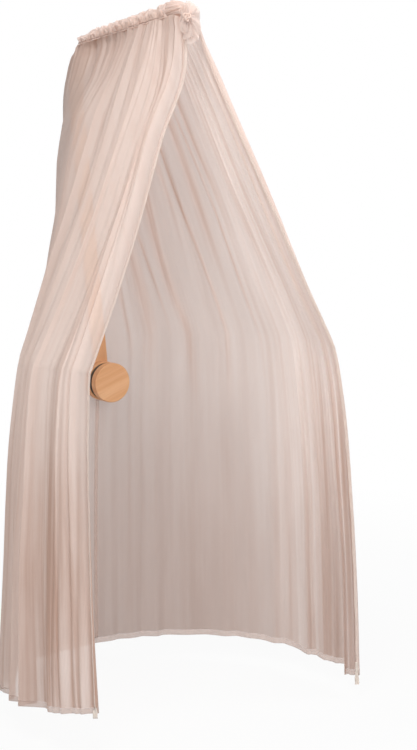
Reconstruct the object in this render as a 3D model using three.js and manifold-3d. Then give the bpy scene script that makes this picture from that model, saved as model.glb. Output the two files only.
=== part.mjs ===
import * as THREE from 'three';
import { mergeVertices } from 'three/addons/utils/BufferGeometryUtils.js';
import Module from 'manifold-3d';

const wasm = await Module();
wasm.setup();

// Canopy of gathered tulle on a bent wooden arm that clamps to upright boards.
// Millimetres, Z up. The origin is on the face of the fixed jaw's pad, above the bolt.
// +Y points outwards, to the side that the arm stands on. The canopy opens towards -Y.

// Gaps and cuts that every piece shares
const seatGap = 0.3;
const cutOverrun = 6;

// Arm, one laminated strip bent a little more than a quarter turn
const armWidth = 37;
const armThickness = 14;
const armEdgeRadius = 2;
const armEndRadius = 9;
const postLength = 694;
const bendRadius = 158;
const bendTurn = THREE.MathUtils.degToRad(92);
const runLength = 384;
const footLength = 42;
const leanAngle = THREE.MathUtils.degToRad(9);
const tipHoleDiameter = 6;
const tipHoleDepth = 8;
const tipHoleSetback = 30;
const tipHolePitch = 32;

// Clamp, two round jaws on one bolt
const boardThickness = 14;
const discDiameter = 100;
const discEdgeRadius = 2.5;
const jawThickness = 18;
const grooveDepth = 8;
const knobThickness = 22;
const knobFrontWall = 3;
const padThickness = 1.5;
const padInset = 4;
const seatHeight = 30;
const boltDiameter = 8;
const boltPlay = 0.3;
const boltReach = 24;
const headDiameter = 13;
const headHeight = 5;
const headCover = 0.9;
const socketWidth = 6;
const socketDepth = 3;
const washerDiameter = 18;
const washerThickness = 1.6;
const insertDiameter = 12;
const insertLength = 13;
const slipDiameter = 34;
const slipThickness = 1;
const screwDiameter = 4;
const screwHeadDiameter = 8;
const screwHeadHeight = 2.4;
const screwCover = 0.4;
const screwSpacing = 27;
const screwTipCover = 5;

// Edge that the cloth is laid over: a ring round an upright axis in front of the clamp
const ringRadius = 384;
const ringStandoff = 22;
const ringHeight = 113;

// Cloth: two gathered widths that meet behind the arm
const clothThickness = 2;
const hangDrop = 800;
const hemFlare = 50;
const rightEdgeFlare = 16;
const flareLength = 300;
const leftHemRise = 45;
const rightHemRise = -22;
const leftEdgeAngle = THREE.MathUtils.degToRad(114);
const rightEdgeAngle = THREE.MathUtils.degToRad(110);
const leftHemSwing = THREE.MathUtils.degToRad(5);
const rightHemSwing = THREE.MathUtils.degToRad(0);
const leftEdgeSag = 50;
const rightEdgeSag = 4;
const foldCount = 9;
const foldDepthTop = 3.5;
const foldDepthRing = 8;
const foldDepthHem = 19;
const foldRest = 40;
const seamGap = 0.3;
const topDrop = 3;
const topCorner = 11;
const topWrap = 22;
const topReach = 14;
const topDip = 10;
const leftTopEnd = 6;
const rightTopEnd = 16;
const backBelly = 28;
const armRoom = 2;
const armShoulder = 4;
const ridgeSoftness = 3;
const bindingWidth = 9;
const bindingThickness = 3;
const hemBandWidth = 14;
const seamTapeWidth = 10;
const seamTapeThickness = 0.8;
const seamFlat = 6;

// Gathered casing over the run, and the rosette and cord at its tip
const casingWall = 6;
const casingSkirt = 3;
const casingOverrun = 84;
const casingSetback = 46;
const casingLip = 2;
const ruffleDepth = 7;
const rufflePitch = 20;
const cordDiameter = 2.4;
const knotRadius = 7;
const knotCordDiameter = 5;
const rosetteHeight = 94;
const rosetteWidth = 44;
const rosetteDepth = 26;
const rosetteDrop = 44;
const rosetteTuck = 5;
const puffLength = 62;
const puffWidth = 58;
const puffHeight = 26;
const puffRise = 3;
const frillDepth = 3;
const frillCount = 12;
const tieWidth = 7;
const tieThickness = 1;
const tieLap = 32;
const tieHang = 24;
const tieGap = 0.6;

// Facets
const discSegments = 60;
const roundSegments = 24;
const cornerSteps = 3;
const bendSteps = 14;
const stepsPerFold = 5;
const stepsPerRuffle = 4;
const casingArcSteps = 10;
const cordSteps = 5;
const cordSides = 6;

const quarter = Math.PI / 2;
const ringDistance = ringRadius - ringStandoff;
const up = new THREE.Vector3(0, Math.sin(leanAngle), Math.cos(leanAngle));
const out = new THREE.Vector3(0, Math.cos(leanAngle), -Math.sin(leanAngle));
const armHalf = armThickness / 2;
const armInnerAtBolt = padThickness + jawThickness - grooveDepth;
const armBase = new THREE.Vector3(0, armInnerAtBolt + armHalf / Math.cos(leanAngle), -seatHeight);
const bendLength = bendRadius * bendTurn;
const { point: runStart, normal: runUp, ahead: runAhead } = armFrame(postLength + bendLength);
const armOuterAtBolt = armInnerAtBolt + armThickness / Math.cos(leanAngle);
const runMatrix = new THREE.Matrix4().makeRotationX(bendTurn - quarter - leanAngle).setPosition(runStart);

// Materials
function finish(color, roughness, metalness) {
  return new THREE.MeshStandardMaterial({ color, roughness, metalness });
}
const beech = () => finish(0xdcaa7e, 0.5, 0);
const steel = () => finish(0xb9babc, 0.35, 0.9);
const brass = () => finish(0xc9a86a, 0.4, 0.9);
const rubber = () => finish(0x6e6862, 0.9, 0);
const nylon = () => finish(0xeeece6, 0.5, 0);
const tulle = () => finish(0xe6d1c8, 0.9, 0);
const tape = () => finish(0xefe3dc, 0.9, 0);

// Any geometry as a solid, and a solid as a geometry
function solidFrom(geometry) {
  const source = geometry.clone();
  source.deleteAttribute('normal');
  source.deleteAttribute('uv');
  const merged = mergeVertices(source);
  const faces = [];
  const index = merged.index.array;
  for (let i = 0; i < index.length; i += 3) {
    const [a, b, c] = [index[i], index[i + 1], index[i + 2]];
    if (a !== b && b !== c && c !== a) faces.push(a, b, c);
  }
  const vertProperties = new Float32Array(merged.attributes.position.array);
  const triVerts = new Uint32Array(faces);
  return new wasm.Manifold(new wasm.Mesh({ numProp: 3, vertProperties, triVerts }));
}

function geometryFrom(solid) {
  const mesh = solid.getMesh();
  const geometry = new THREE.BufferGeometry();
  geometry.setAttribute('position', new THREE.Float32BufferAttribute(mesh.vertProperties, 3));
  geometry.setIndex(Array.from(mesh.triVerts));
  geometry.computeVertexNormals();
  return geometry;
}

function piece(name, shape, material) {
  const solid = shape.isBufferGeometry ? solidFrom(shape) : shape;
  const mesh = new THREE.Mesh(geometryFrom(solid), material);
  mesh.name = name;
  return mesh;
}

// Triangles given as rows of points, turned so that the faces point out
function closedGeometry(points, faces) {
  let volume = 0;
  for (const [a, b, c] of faces) {
    volume += points[a].clone().cross(points[b]).dot(points[c]);
  }
  const geometry = new THREE.BufferGeometry();
  geometry.setFromPoints(points);
  geometry.setIndex(faces.flatMap(([a, b, c]) => (volume < 0 ? [a, c, b] : [a, b, c])));
  return geometry;
}

// Rings of equal count joined in order, with both ends closed by the outline's own triangles
function loft(rings, outline) {
  const count = outline.length;
  const faces = [];
  for (let k = 0; k + 1 < rings.length; k++) {
    for (let i = 0; i < count; i++) {
      const a = k * count + i;
      const b = k * count + ((i + 1) % count);
      faces.push([a, b, b + count], [a, b + count, a + count]);
    }
  }
  const last = (rings.length - 1) * count;
  for (const [a, b, c] of THREE.ShapeUtils.triangulateShape(outline, [])) {
    faces.push([c, b, a], [last + a, last + b, last + c]);
  }
  return closedGeometry(rings.flat(), faces);
}

// A grid of points and normals made solid, half the thickness to each side
function sheet(columns, rows, place, thickness) {
  const points = [];
  for (const side of [1, -1]) {
    for (let j = 0; j <= rows; j++) {
      for (let i = 0; i <= columns; i++) {
        const { point, normal } = place(i / columns, j);
        points.push(point.clone().addScaledVector(normal, (side * thickness) / 2));
      }
    }
  }
  const wide = columns + 1;
  const layer = wide * (rows + 1);
  const faces = [];
  const quad = (a, b, c, d) => faces.push([a, b, c], [a, c, d]);
  for (let j = 0; j < rows; j++) {
    for (let i = 0; i < columns; i++) {
      const a = j * wide + i;
      quad(a, a + 1, a + 1 + wide, a + wide);
      quad(layer + a, layer + a + wide, layer + a + 1 + wide, layer + a + 1);
    }
  }
  const rim = [];
  for (let i = 0; i < columns; i++) rim.push(i);
  for (let j = 0; j < rows; j++) rim.push(j * wide + columns);
  for (let i = columns; i > 0; i--) rim.push(rows * wide + i);
  for (let j = rows; j > 0; j--) rim.push(j * wide);
  rim.forEach((a, k) => {
    const b = rim[(k + 1) % rim.length];
    quad(b, a, layer + a, layer + b);
  });
  return closedGeometry(points, faces);
}

function roundedRectangle(width, height, radius) {
  const points = [];
  for (let corner = 0; corner < 4; corner++) {
    const right = corner === 0 || corner === 3 ? 1 : -1;
    const top = corner < 2 ? 1 : -1;
    for (let k = 0; k < cornerSteps; k++) {
      const angle = (corner + k / (cornerSteps - 1)) * quarter;
      const x = right * (width / 2 - radius) + radius * Math.cos(angle);
      const y = top * (height / 2 - radius) + radius * Math.sin(angle);
      points.push(new THREE.Vector2(x, y));
    }
  }
  return points;
}

// A round solid along Y between two places
function rod(diameter, from, to, segments = roundSegments, endDiameter = diameter) {
  const geometry = new THREE.CylinderGeometry(endDiameter / 2, diameter / 2, to - from, segments);
  return geometry.translate(0, (from + to) / 2, 0);
}

// A disc along Y between two places, with both rims rounded
function roundedDisc(diameter, from, to, radius) {
  const points = [new THREE.Vector2(0, from)];
  for (const end of [0, 1]) {
    for (let k = 0; k <= cornerSteps; k++) {
      const angle = (k / cornerSteps) * quarter + (end - 1) * quarter;
      const x = diameter / 2 - radius + radius * Math.cos(angle);
      const y = (end ? to - radius : from + radius) + radius * Math.sin(angle);
      points.push(new THREE.Vector2(x, y));
    }
  }
  points.push(new THREE.Vector2(0, to));
  return new THREE.LatheGeometry(points, discSegments);
}

// Arm: a place on its centre line, by the distance along it from the bolt axis
function armFrame(distance) {
  const turn = THREE.MathUtils.clamp((distance - postLength) / bendRadius, 0, bendTurn);
  const rise = Math.min(distance, postLength) + bendRadius * Math.sin(turn);
  const reach = bendRadius * (1 - Math.cos(turn));
  const normal = out.clone().multiplyScalar(Math.cos(turn)).addScaledVector(up, Math.sin(turn));
  const ahead = up.clone().multiplyScalar(Math.cos(turn)).addScaledVector(out, -Math.sin(turn));
  const point = armBase.clone().addScaledVector(up, rise).addScaledVector(out, -reach);
  point.addScaledVector(ahead, Math.max(0, distance - postLength - bendLength));
  return { point, normal, ahead };
}

function armStations(longer) {
  const end = postLength + bendLength + runLength + longer;
  const stations = [];
  for (let k = 0; k <= cornerSteps; k++) {
    const angle = quarter * (1 - k / cornerSteps);
    const halfWidth = armWidth / 2 - armEndRadius * (1 - Math.cos(angle));
    stations.push([-footLength + armEndRadius * (1 - Math.sin(angle)), halfWidth]);
  }
  for (let k = 0; k <= bendSteps; k++) {
    stations.push([postLength + (bendLength * k) / bendSteps, armWidth / 2]);
  }
  for (let k = 0; k <= cornerSteps; k++) {
    const angle = (quarter * k) / cornerSteps;
    const halfWidth = armWidth / 2 - armEndRadius * (1 - Math.cos(angle));
    stations.push([end - armEndRadius * (1 - Math.sin(angle)), halfWidth]);
  }
  return stations;
}

function armBody(room = 0, longer = 0) {
  const outline = roundedRectangle(armWidth + 2 * room, armThickness + 2 * room, armEdgeRadius);
  const rings = armStations(longer).map(([distance, halfWidth]) => {
    const { point, normal } = armFrame(distance);
    return outline.map((corner) => {
      const place = point.clone().addScaledVector(normal, corner.y);
      place.x = (corner.x * halfWidth) / (armWidth / 2);
      return place;
    });
  });
  return solidFrom(loft(rings, outline));
}

function atBolt(geometry) {
  return geometry.translate(0, 0, -seatHeight);
}

// Screws stand along Y, above and below the bolt
const screwPlaces = { arm_screw_upper: screwSpacing, arm_screw_lower: -screwSpacing };

function screwHead(offset) {
  return armOuterAtBolt + offset * Math.tan(leanAngle) - screwCover;
}

function screw(offset, room) {
  const head = screwHead(offset);
  const tip = padThickness + screwTipCover - room;
  const shank = rod(screwDiameter + 2 * room, tip, head);
  const headWidth = screwHeadDiameter + 2 * room;
  const cone = rod(screwDiameter + 2 * room, head - screwHeadHeight, head, roundSegments, headWidth);
  let body = solidFrom(shank).add(solidFrom(cone));
  if (room > 0) body = body.add(solidFrom(rod(headWidth, head, head + cutOverrun)));
  return body.translate([0, 0, offset - seatHeight]);
}

const washerFace = armOuterAtBolt - headCover - headHeight - washerThickness - seatGap;

function makeArm() {
  const counterbore = rod(washerDiameter + 2 * seatGap, washerFace - seatGap, armOuterAtBolt + cutOverrun);
  const hole = rod(boltDiameter + 2 * seatGap, armInnerAtBolt - cutOverrun, armOuterAtBolt);
  let body = armBody().subtract(solidFrom(atBolt(counterbore))).subtract(solidFrom(atBolt(hole)));
  for (const offset of Object.values(screwPlaces)) body = body.subtract(screw(offset, seatGap));
  for (let k = 0; k < 2; k++) {
    const distance = postLength + bendLength + runLength - tipHoleSetback - k * tipHolePitch;
    const { point, normal } = armFrame(distance);
    const drill = rod(tipHoleDiameter, -armHalf - cutOverrun, tipHoleDepth - armHalf);
    const turn = new THREE.Quaternion().setFromUnitVectors(new THREE.Vector3(0, 1, 0), normal);
    drill.applyQuaternion(turn).translate(point.x, point.y, point.z);
    body = body.subtract(solidFrom(drill));
  }
  return piece('arm', body, beech());
}

// The arm's own outline with room round it, which is let into the back of the fixed jaw
function armGroove() {
  const wide = armWidth + 2 * seatGap;
  const long = footLength + discDiameter + seatGap;
  const deep = armThickness + discDiameter;
  const box = new THREE.BoxGeometry(wide, deep, long);
  box.translate(0, deep / 2 - armHalf - seatGap, long / 2 - footLength - seatGap);
  box.rotateX(-leanAngle);
  return solidFrom(box.translate(armBase.x, armBase.y, armBase.z));
}

function makeClamp() {
  const pieces = [];
  const jaw = atBolt(roundedDisc(discDiameter, padThickness, padThickness + jawThickness, discEdgeRadius));
  const hole = atBolt(rod(boltDiameter + 2 * seatGap, -cutOverrun, jawThickness + cutOverrun));
  let jawBody = solidFrom(jaw).subtract(armGroove()).subtract(solidFrom(hole));
  for (const offset of Object.values(screwPlaces)) jawBody = jawBody.subtract(screw(offset, seatGap));
  pieces.push(piece('fixed_jaw', jawBody, beech()));

  const padDiameter = discDiameter - 2 * padInset;
  const padHole = boltDiameter + 2 * boltPlay;
  pieces.push(piece('jaw_pad', ring(padDiameter, padHole, 0, padThickness - seatGap), rubber()));

  const knobPadFace = -boardThickness;
  const knobFace = knobPadFace - padThickness;
  const padBack = knobFace + seatGap;
  pieces.push(piece('knob_pad', ring(padDiameter, padHole, padBack, knobPadFace), rubber()));

  const slipFace = knobFace;
  const slipBack = slipFace - slipThickness;
  pieces.push(piece('slip_washer', ring(slipDiameter, padHole, slipBack, slipFace), nylon()));

  const insertFace = slipBack - seatGap;
  const insertBack = insertFace - insertLength;
  const bore = padHole;
  pieces.push(piece('knob_insert', ring(insertDiameter, bore, insertBack, insertFace), brass()));

  const knobBack = knobFace - knobThickness;
  let knobBody = solidFrom(atBolt(roundedDisc(discDiameter, knobBack, knobFace, discEdgeRadius)));
  const cuts = [
    rod(slipDiameter + 2 * seatGap, insertFace, knobFace + cutOverrun, discSegments),
    rod(insertDiameter + 2 * seatGap, insertBack - seatGap, knobFace + cutOverrun),
    rod(bore, knobBack + knobFrontWall, knobFace + cutOverrun),
  ];
  for (const cut of cuts) knobBody = knobBody.subtract(solidFrom(atBolt(cut)));
  pieces.push(piece('clamp_knob', knobBody, beech()));

  const washerTop = washerFace + washerThickness;
  const washer = ring(washerDiameter, boltDiameter + 2 * boltPlay, washerFace, washerTop);
  pieces.push(piece('bolt_washer', washer, steel()));
  const headFace = washerTop + seatGap;
  const headTop = headFace + headHeight;
  const shank = solidFrom(rod(boltDiameter, -boltReach, headFace + headHeight / 2));
  const head = solidFrom(rod(headDiameter, headFace, headTop));
  const socket = solidFrom(rod(socketWidth, headTop - socketDepth, headTop + cutOverrun, 6));
  const bolt = shank.add(head).subtract(socket).translate([0, 0, -seatHeight]);
  pieces.push(piece('clamp_bolt', bolt, steel()));

  for (const [name, offset] of Object.entries(screwPlaces)) {
    pieces.push(piece(name, screw(offset, 0), steel()));
  }
  return pieces;
}

function ring(diameter, hole, from, to) {
  const disc = solidFrom(atBolt(rod(diameter, from, to, discSegments)));
  return disc.subtract(solidFrom(atBolt(rod(hole, from - cutOverrun, to + cutOverrun))));
}

// Cloth: the top line runs under the casing from the tip to the rear and turns behind the arm
const skirtBottom = -armHalf - casingSkirt;
const topHalfWidth = armWidth / 2 + foldDepthTop + clothThickness / 2 + armRoom;
const topFront = topWrap - topReach - runLength;
const topRear = casingOverrun + clothThickness / 2 + seatGap + foldDepthTop + topCorner / 2;
const wrapLength = topWrap * quarter;
const topStraight = wrapLength + topRear - topCorner - topFront;
const topLength = topStraight + topCorner * quarter + topHalfWidth - topCorner;

function runPoint(x, y, z) {
  return runStart.clone().addScaledVector(runAhead, -y).addScaledVector(runUp, z).setX(x);
}

function topPoint(side, share) {
  const along = share * topLength;
  const lead = Math.max(0, 1 - along / wrapLength) * quarter;
  const end = side < 0 ? leftTopEnd : rightTopEnd;
  const turn = THREE.MathUtils.clamp((along - topStraight) / topCorner, 0, quarter);
  const across = Math.max(0, along - topStraight - topCorner * quarter);
  const round = (topHalfWidth - end) * (1 - Math.cos(lead)) + topCorner * (1 - Math.cos(turn));
  const straight = THREE.MathUtils.clamp(along, wrapLength, topStraight) - wrapLength;
  const y = topFront - topWrap * Math.sin(lead) + straight + topCorner * Math.sin(turn);
  const z = skirtBottom - topDrop - topDip * Math.sin(lead);
  return runPoint(side * (topHalfWidth - round - across), y, z);
}

function ringPoint(side, share, drop) {
  const hang = drop / hangDrop;
  const left = side < 0;
  const edge = left ? leftEdgeAngle + leftHemSwing * hang : rightEdgeAngle + rightHemSwing * hang;
  const edgeFlare = left ? 0 : rightEdgeFlare * (1 - share);
  const flare = (hemFlare + edgeFlare) * (1 - Math.exp(-drop / flareLength));
  const rise = (left ? leftHemRise : rightHemRise) * hang * Math.max(0, 1 - 2 * share);
  const angle = edge * (1 - share);
  const x = side * (ringRadius + flare) * Math.sin(angle);
  const y = (ringRadius + flare) * Math.cos(angle) - ringDistance;
  return new THREE.Vector3(x, y, ringHeight - seatHeight - drop + rise);
}

// Depth of the folds from the top, at 0, over the ring, at 1, to the hem, at 2
function foldDepth(level) {
  if (level < 1) return THREE.MathUtils.lerp(foldDepthTop, foldDepthRing, level);
  return THREE.MathUtils.lerp(foldDepthRing, foldDepthHem, Math.sqrt(Math.min(1, level - 1)));
}

// The cloth passes behind the arm and the fixed jaw, so its back is moved out to clear them
const steepFall_share = 4;
const gentleFall_share = 0.55;
const fallStart_share = 0.05;
const fallEnd_share = 0.4;
const nearBack_share = 1 / 3;

function softLift(missing) {
  return ridgeSoftness * Math.log1p(Math.exp(missing / ridgeSoftness));
}

function clearArm(point, level) {
  const local = point.clone().sub(armBase);
  const height = local.dot(up) - postLength;
  const outward = local.dot(out);
  const back = THREE.MathUtils.smoothstep(outward, -bendRadius, -bendRadius * nearBack_share);
  const overBend = height > 0 && outward > -bendRadius;
  const fromBend = out.clone().multiplyScalar(outward + bendRadius).addScaledVector(up, height);
  const away = overBend ? fromBend : out.clone();
  const distance = overBend ? away.length() - bendRadius : outward;
  away.normalize();
  const beside = Math.max(0, Math.abs(point.x) - armWidth / 2 - armShoulder);
  const below = Math.max(0, -footLength - height - postLength);
  const blend = THREE.MathUtils.smoothstep(level, fallStart_share, fallEnd_share);
  const fall = THREE.MathUtils.lerp(steepFall_share, gentleFall_share, blend);
  const room = armHalf + foldDepth(level) + clothThickness / 2 + armRoom;
  const wanted = room - fall * beside - gentleFall_share * below;
  const fade = back * Math.min(1, level / fallStart_share);
  point.addScaledVector(away, fade * softLift(wanted - distance));
  const offDisc = Math.max(0, Math.hypot(point.x, point.z + seatHeight) - discDiameter / 2);
  const behindJaw = padThickness + jawThickness + room - armHalf - gentleFall_share * offDisc;
  point.y += back * softLift(behindJaw - point.y);
  return point;
}

function baseCloth(side, share, level) {
  let point;
  if (level <= 1) {
    point = topPoint(side, share).lerp(ringPoint(side, share, 0), level);
    const inward = new THREE.Vector3(-point.x, -ringDistance - point.y, 0).normalize();
    const edgeSag = side < 0 ? leftEdgeSag : rightEdgeSag;
    const sag = edgeSag * Math.sin(Math.PI * level) * Math.max(0, 1 - share) ** 2;
    const behind = THREE.MathUtils.smoothstep(share, 1 / 4, 3 / 4);
    const belly = backBelly * Math.sin(Math.PI * Math.sqrt(level)) * behind;
    point.addScaledVector(inward, sag - belly);
  } else {
    point = ringPoint(side, share, (level - 1) * hangDrop);
  }
  return clearArm(point, level);
}

// Length of a half's cloth across, at a level
function halfLength(side, level) {
  const angle = side < 0 ? leftEdgeAngle : rightEdgeAngle;
  const lower = angle * (ringRadius + hemFlare * Math.max(0, level - 1));
  return level < 1 ? THREE.MathUtils.lerp(topLength, lower, level) : lower;
}

// Main folds: unequal in width and depth, and still along the back seam and the front edge
const foldDrift_share = 0.42;
const foldSway_share = 0.16;
const foldUneven_share = 0.25;
const driftTurns = 5;
const swayTurns = 9;
const unevenTurns = 17;
const probe_share = 0.004;

function foldHeight(side, share, level) {
  const drift = foldDrift_share * Math.sin(quarter * driftTurns * share + side);
  const sway = foldSway_share * level * Math.sin(quarter * swayTurns * share);
  const wave = Math.sin(2 * Math.PI * (foldCount * share + (drift + sway) * side));
  const uneven = 1 - foldUneven_share * (1 + Math.sin(quarter * unevenTurns * share + 2 * side));
  const length = halfLength(side, level);
  const fromSeam = (1 - share) * length - seamFlat;
  const fromEdge = share * length + bindingWidth;
  const still = Math.min(1, fromSeam / foldRest, fromEdge / foldRest);
  return foldDepth(level) * wave * uneven * Math.max(0, still);
}

function cloth(side, share, level, lift = 0) {
  const point = baseCloth(side, share, level);
  const before = baseCloth(side, share - probe_share, level);
  const above = baseCloth(side, share, Math.max(0, level - probe_share));
  const across = baseCloth(side, share + probe_share, level).sub(before);
  const down = baseCloth(side, share, level + probe_share).sub(above);
  const normal = across.cross(down).normalize().multiplyScalar(side);
  point.addScaledVector(normal, foldHeight(side, share, level) + lift);
  return { point, normal };
}

const clothLevels_share = [0, 0.05, 0.1, 0.17, 0.26, 0.44, 0.7, 1, 1.08, 1.25, 1.6, 2];
const columns = foldCount * stepsPerFold;

// Columns are even as far as the flat strip beside the seam, which is one column more
function panelPlace(side, across, level) {
  const length = halfLength(side, level);
  const index = Math.round(across * (columns + 1));
  const flat = 1 - seamFlat / length;
  const share = index > columns ? 1 - seamGap / length : (flat * index) / columns;
  return cloth(side, share, level);
}

function makePanel(side, word) {
  const rows = clothLevels_share.length - 1;
  const place = (across, row) => panelPlace(side, across, clothLevels_share[row]);
  return piece(`${word}_panel`, sheet(columns + 1, rows, place, clothThickness), tulle());
}

function makeFrontBinding(side, word) {
  const rows = clothLevels_share.length - 1;
  const place = (across, row) => {
    const level = clothLevels_share[row];
    const width = seamGap + bindingWidth * (1 - across);
    return cloth(side, -width / halfLength(side, level), level);
  };
  return piece(`${word}_front_binding`, sheet(1, rows, place, bindingThickness), tape());
}

function makeHemBand(side, word) {
  const place = (across, row) => {
    const drop = seamGap + hemBandWidth * row;
    return panelPlace(side, across, 2 + drop / hangDrop);
  };
  return piece(`${word}_hem_band`, sheet(columns + 1, 1, place, clothThickness), tape());
}

function makeSeamTape() {
  const lift = (clothThickness + seamTapeThickness) / 2 + seatGap;
  const levels = clothLevels_share.slice(1);
  const place = (across, row) => {
    const level = levels[row];
    const offset = (across - 1 / 2) * seamTapeWidth;
    const side = offset < 0 ? -1 : 1;
    return cloth(side, 1 - Math.abs(offset) / halfLength(side, level), level, lift);
  };
  return piece('back_seam_tape', sheet(2, levels.length - 1, place, seamTapeThickness), tape());
}

// A short tape on the inner side of each front corner, hanging past the hem
function makeTie(side, word) {
  const lift = (bindingThickness + tieThickness) / 2 + tieGap;
  const place = (across, row) => {
    const width = (bindingWidth - tieWidth) / 2 + seamGap + tieWidth * (1 - across);
    const drop = row === 0 ? -tieLap : row === 1 ? 0 : tieHang;
    return cloth(side, -width / halfLength(side, 2), 2 + drop / hangDrop, lift);
  };
  return piece(`${word}_corner_tie`, sheet(1, 2, place, tieThickness), tape());
}

// Casing: a gathered channel over the run, open below, where the arm leaves it
const casingHalf = topHalfWidth + foldDepthTop;

function makeCasing() {
  const corner = topCorner + casingHalf - topHalfWidth;
  const inner = armHalf + seatGap;
  const front = -runLength + casingSetback;
  const count = Math.round(((casingOverrun - front) / rufflePitch) * stepsPerRuffle);
  const rings = [];
  for (let k = 0; k <= count + cornerSteps; k++) {
    const turn = (quarter * Math.max(0, k - count)) / cornerSteps;
    const share = Math.min(1, k / count);
    const y = THREE.MathUtils.lerp(front, casingOverrun - corner, share) + corner * Math.sin(turn);
    const halfWidth = casingHalf - corner * (1 - Math.cos(turn));
    const crest = ruffleDepth * Math.abs(Math.sin((Math.PI * k) / stepsPerRuffle + Math.sin(k)));
    const thick = casingWall + crest * THREE.MathUtils.lerp(1, 1 / 4, share);
    const overBend = Math.sqrt((bendRadius + inner + thick) ** 2 - Math.max(0, y) ** 2) - bendRadius;
    const ring = [[halfWidth, skirtBottom]];
    for (let j = 0; j <= casingArcSteps; j++) {
      const angle = (Math.PI * j) / casingArcSteps;
      const high = Math.sqrt(Math.max(0, Math.sin(angle)));
      const z = THREE.MathUtils.lerp(skirtBottom + casingLip, overBend, high);
      ring.push([halfWidth * Math.cos(angle), z]);
    }
    ring.push([-halfWidth, skirtBottom]);
    rings.push(ring.map(([x, z]) => new THREE.Vector3(x, y, z)));
  }
  const outline = rings[0].map((point) => new THREE.Vector2(point.x, point.z));
  const sleeve = solidFrom(loft(rings, outline).applyMatrix4(runMatrix));
  return piece('ruffled_casing', sleeve.subtract(armBody(seatGap, cutOverrun)), tulle());
}

// A puff of gathered cloth: an ellipsoid whose frills meet at its two ends along Y
function puff(width, length, height) {
  const geometry = new THREE.SphereGeometry(1, frillCount * 3, 8);
  const places = geometry.attributes.position;
  for (let i = 0; i < places.count; i++) {
    const place = new THREE.Vector3().fromBufferAttribute(places, i);
    const angle = Math.atan2(place.z, place.x);
    const girth = Math.hypot(place.x, place.z);
    const frill = girth > 1e-3 ? frillDepth * girth * Math.sin(frillCount * angle) : 0;
    const wide = width / 2 + frill;
    const high = height / 2 + frill;
    places.setXYZ(i, place.x * wide, (place.y * length) / 2, place.z * high);
  }
  return geometry;
}

function makeRosette() {
  const front = -runLength - topReach - clothThickness / 2 - seatGap + rosetteTuck;
  const fan = puff(rosetteWidth, rosetteDepth, rosetteHeight);
  fan.translate(0, front - rosetteDepth / 2 - frillDepth, -rosetteDrop);
  const crown = puff(puffWidth, puffLength, puffHeight);
  crown.translate(0, -runLength + casingSetback - seatGap - puffLength / 2, puffRise);
  crown.applyMatrix4(runMatrix);
  const knot = new THREE.TorusGeometry(knotRadius, knotCordDiameter / 2, 8, 16).rotateX(quarter);
  knot.translate(0, front - rosetteDepth - frillDepth - knotCordDiameter / 2 - seatGap, -rosetteDrop);
  return [
    piece('rosette_fan', fan.applyMatrix4(runMatrix), tulle()),
    piece('rosette_crown', solidFrom(crown).subtract(armBody(seatGap, seatGap)), tulle()),
    piece('tie_knot', knot.applyMatrix4(runMatrix), tape()),
  ];
}

// Cord in the gathering seam: from the tip along one side, behind the casing and back
function makeCord() {
  const room = cordDiameter / 2 + seatGap;
  const corner = topCorner + casingHalf - topHalfWidth;
  const height = skirtBottom + cordDiameter / 2;
  const front = -runLength + casingSetback;
  const points = [new THREE.Vector3(-casingHalf - room, front, height)];
  for (let k = 0; k <= 2 * cordSteps + 1; k++) {
    const past = k > cordSteps ? 1 : 0;
    const angle = ((k - past) / cordSteps) * quarter;
    const x = (past * 2 - 1) * (casingHalf - corner) - (corner + room) * Math.cos(angle);
    const y = casingOverrun - corner + (corner + room) * Math.sin(angle);
    points.push(new THREE.Vector3(x, y, height));
  }
  points.push(new THREE.Vector3(casingHalf + room, front, height));
  const outline = [];
  for (let i = 0; i < cordSides; i++) {
    const angle = (2 * Math.PI * i) / cordSides;
    outline.push(new THREE.Vector2(Math.cos(angle), Math.sin(angle)).multiplyScalar(cordDiameter / 2));
  }
  const rings = points.map((point, k) => {
    const before = points[Math.max(0, k - 1)];
    const after = points[Math.min(points.length - 1, k + 1)];
    const along = after.clone().sub(before).normalize();
    const sideways = new THREE.Vector3(-along.y, along.x, 0);
    return outline.map((edge) => {
      const place = point.clone().addScaledVector(sideways, edge.x);
      return place.setZ(height + edge.y);
    });
  });
  return piece('gathering_cord', loft(rings, outline).applyMatrix4(runMatrix), tape());
}

const canopy = new THREE.Group();
canopy.add(makeArm(), ...makeClamp(), makeCasing(), makeCord(), ...makeRosette());
for (const [side, word] of [[-1, 'left'], [1, 'right']]) {
  canopy.add(makePanel(side, word), makeFrontBinding(side, word), makeHemBand(side, word));
  canopy.add(makeTie(side, word));
}
canopy.add(makeSeamTape());

export default canopy;
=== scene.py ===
import math

import bmesh
import bpy
import numpy as np
from numpy import concatenate, cos, linspace, maximum, sin
from mathutils import Matrix, Vector


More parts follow.
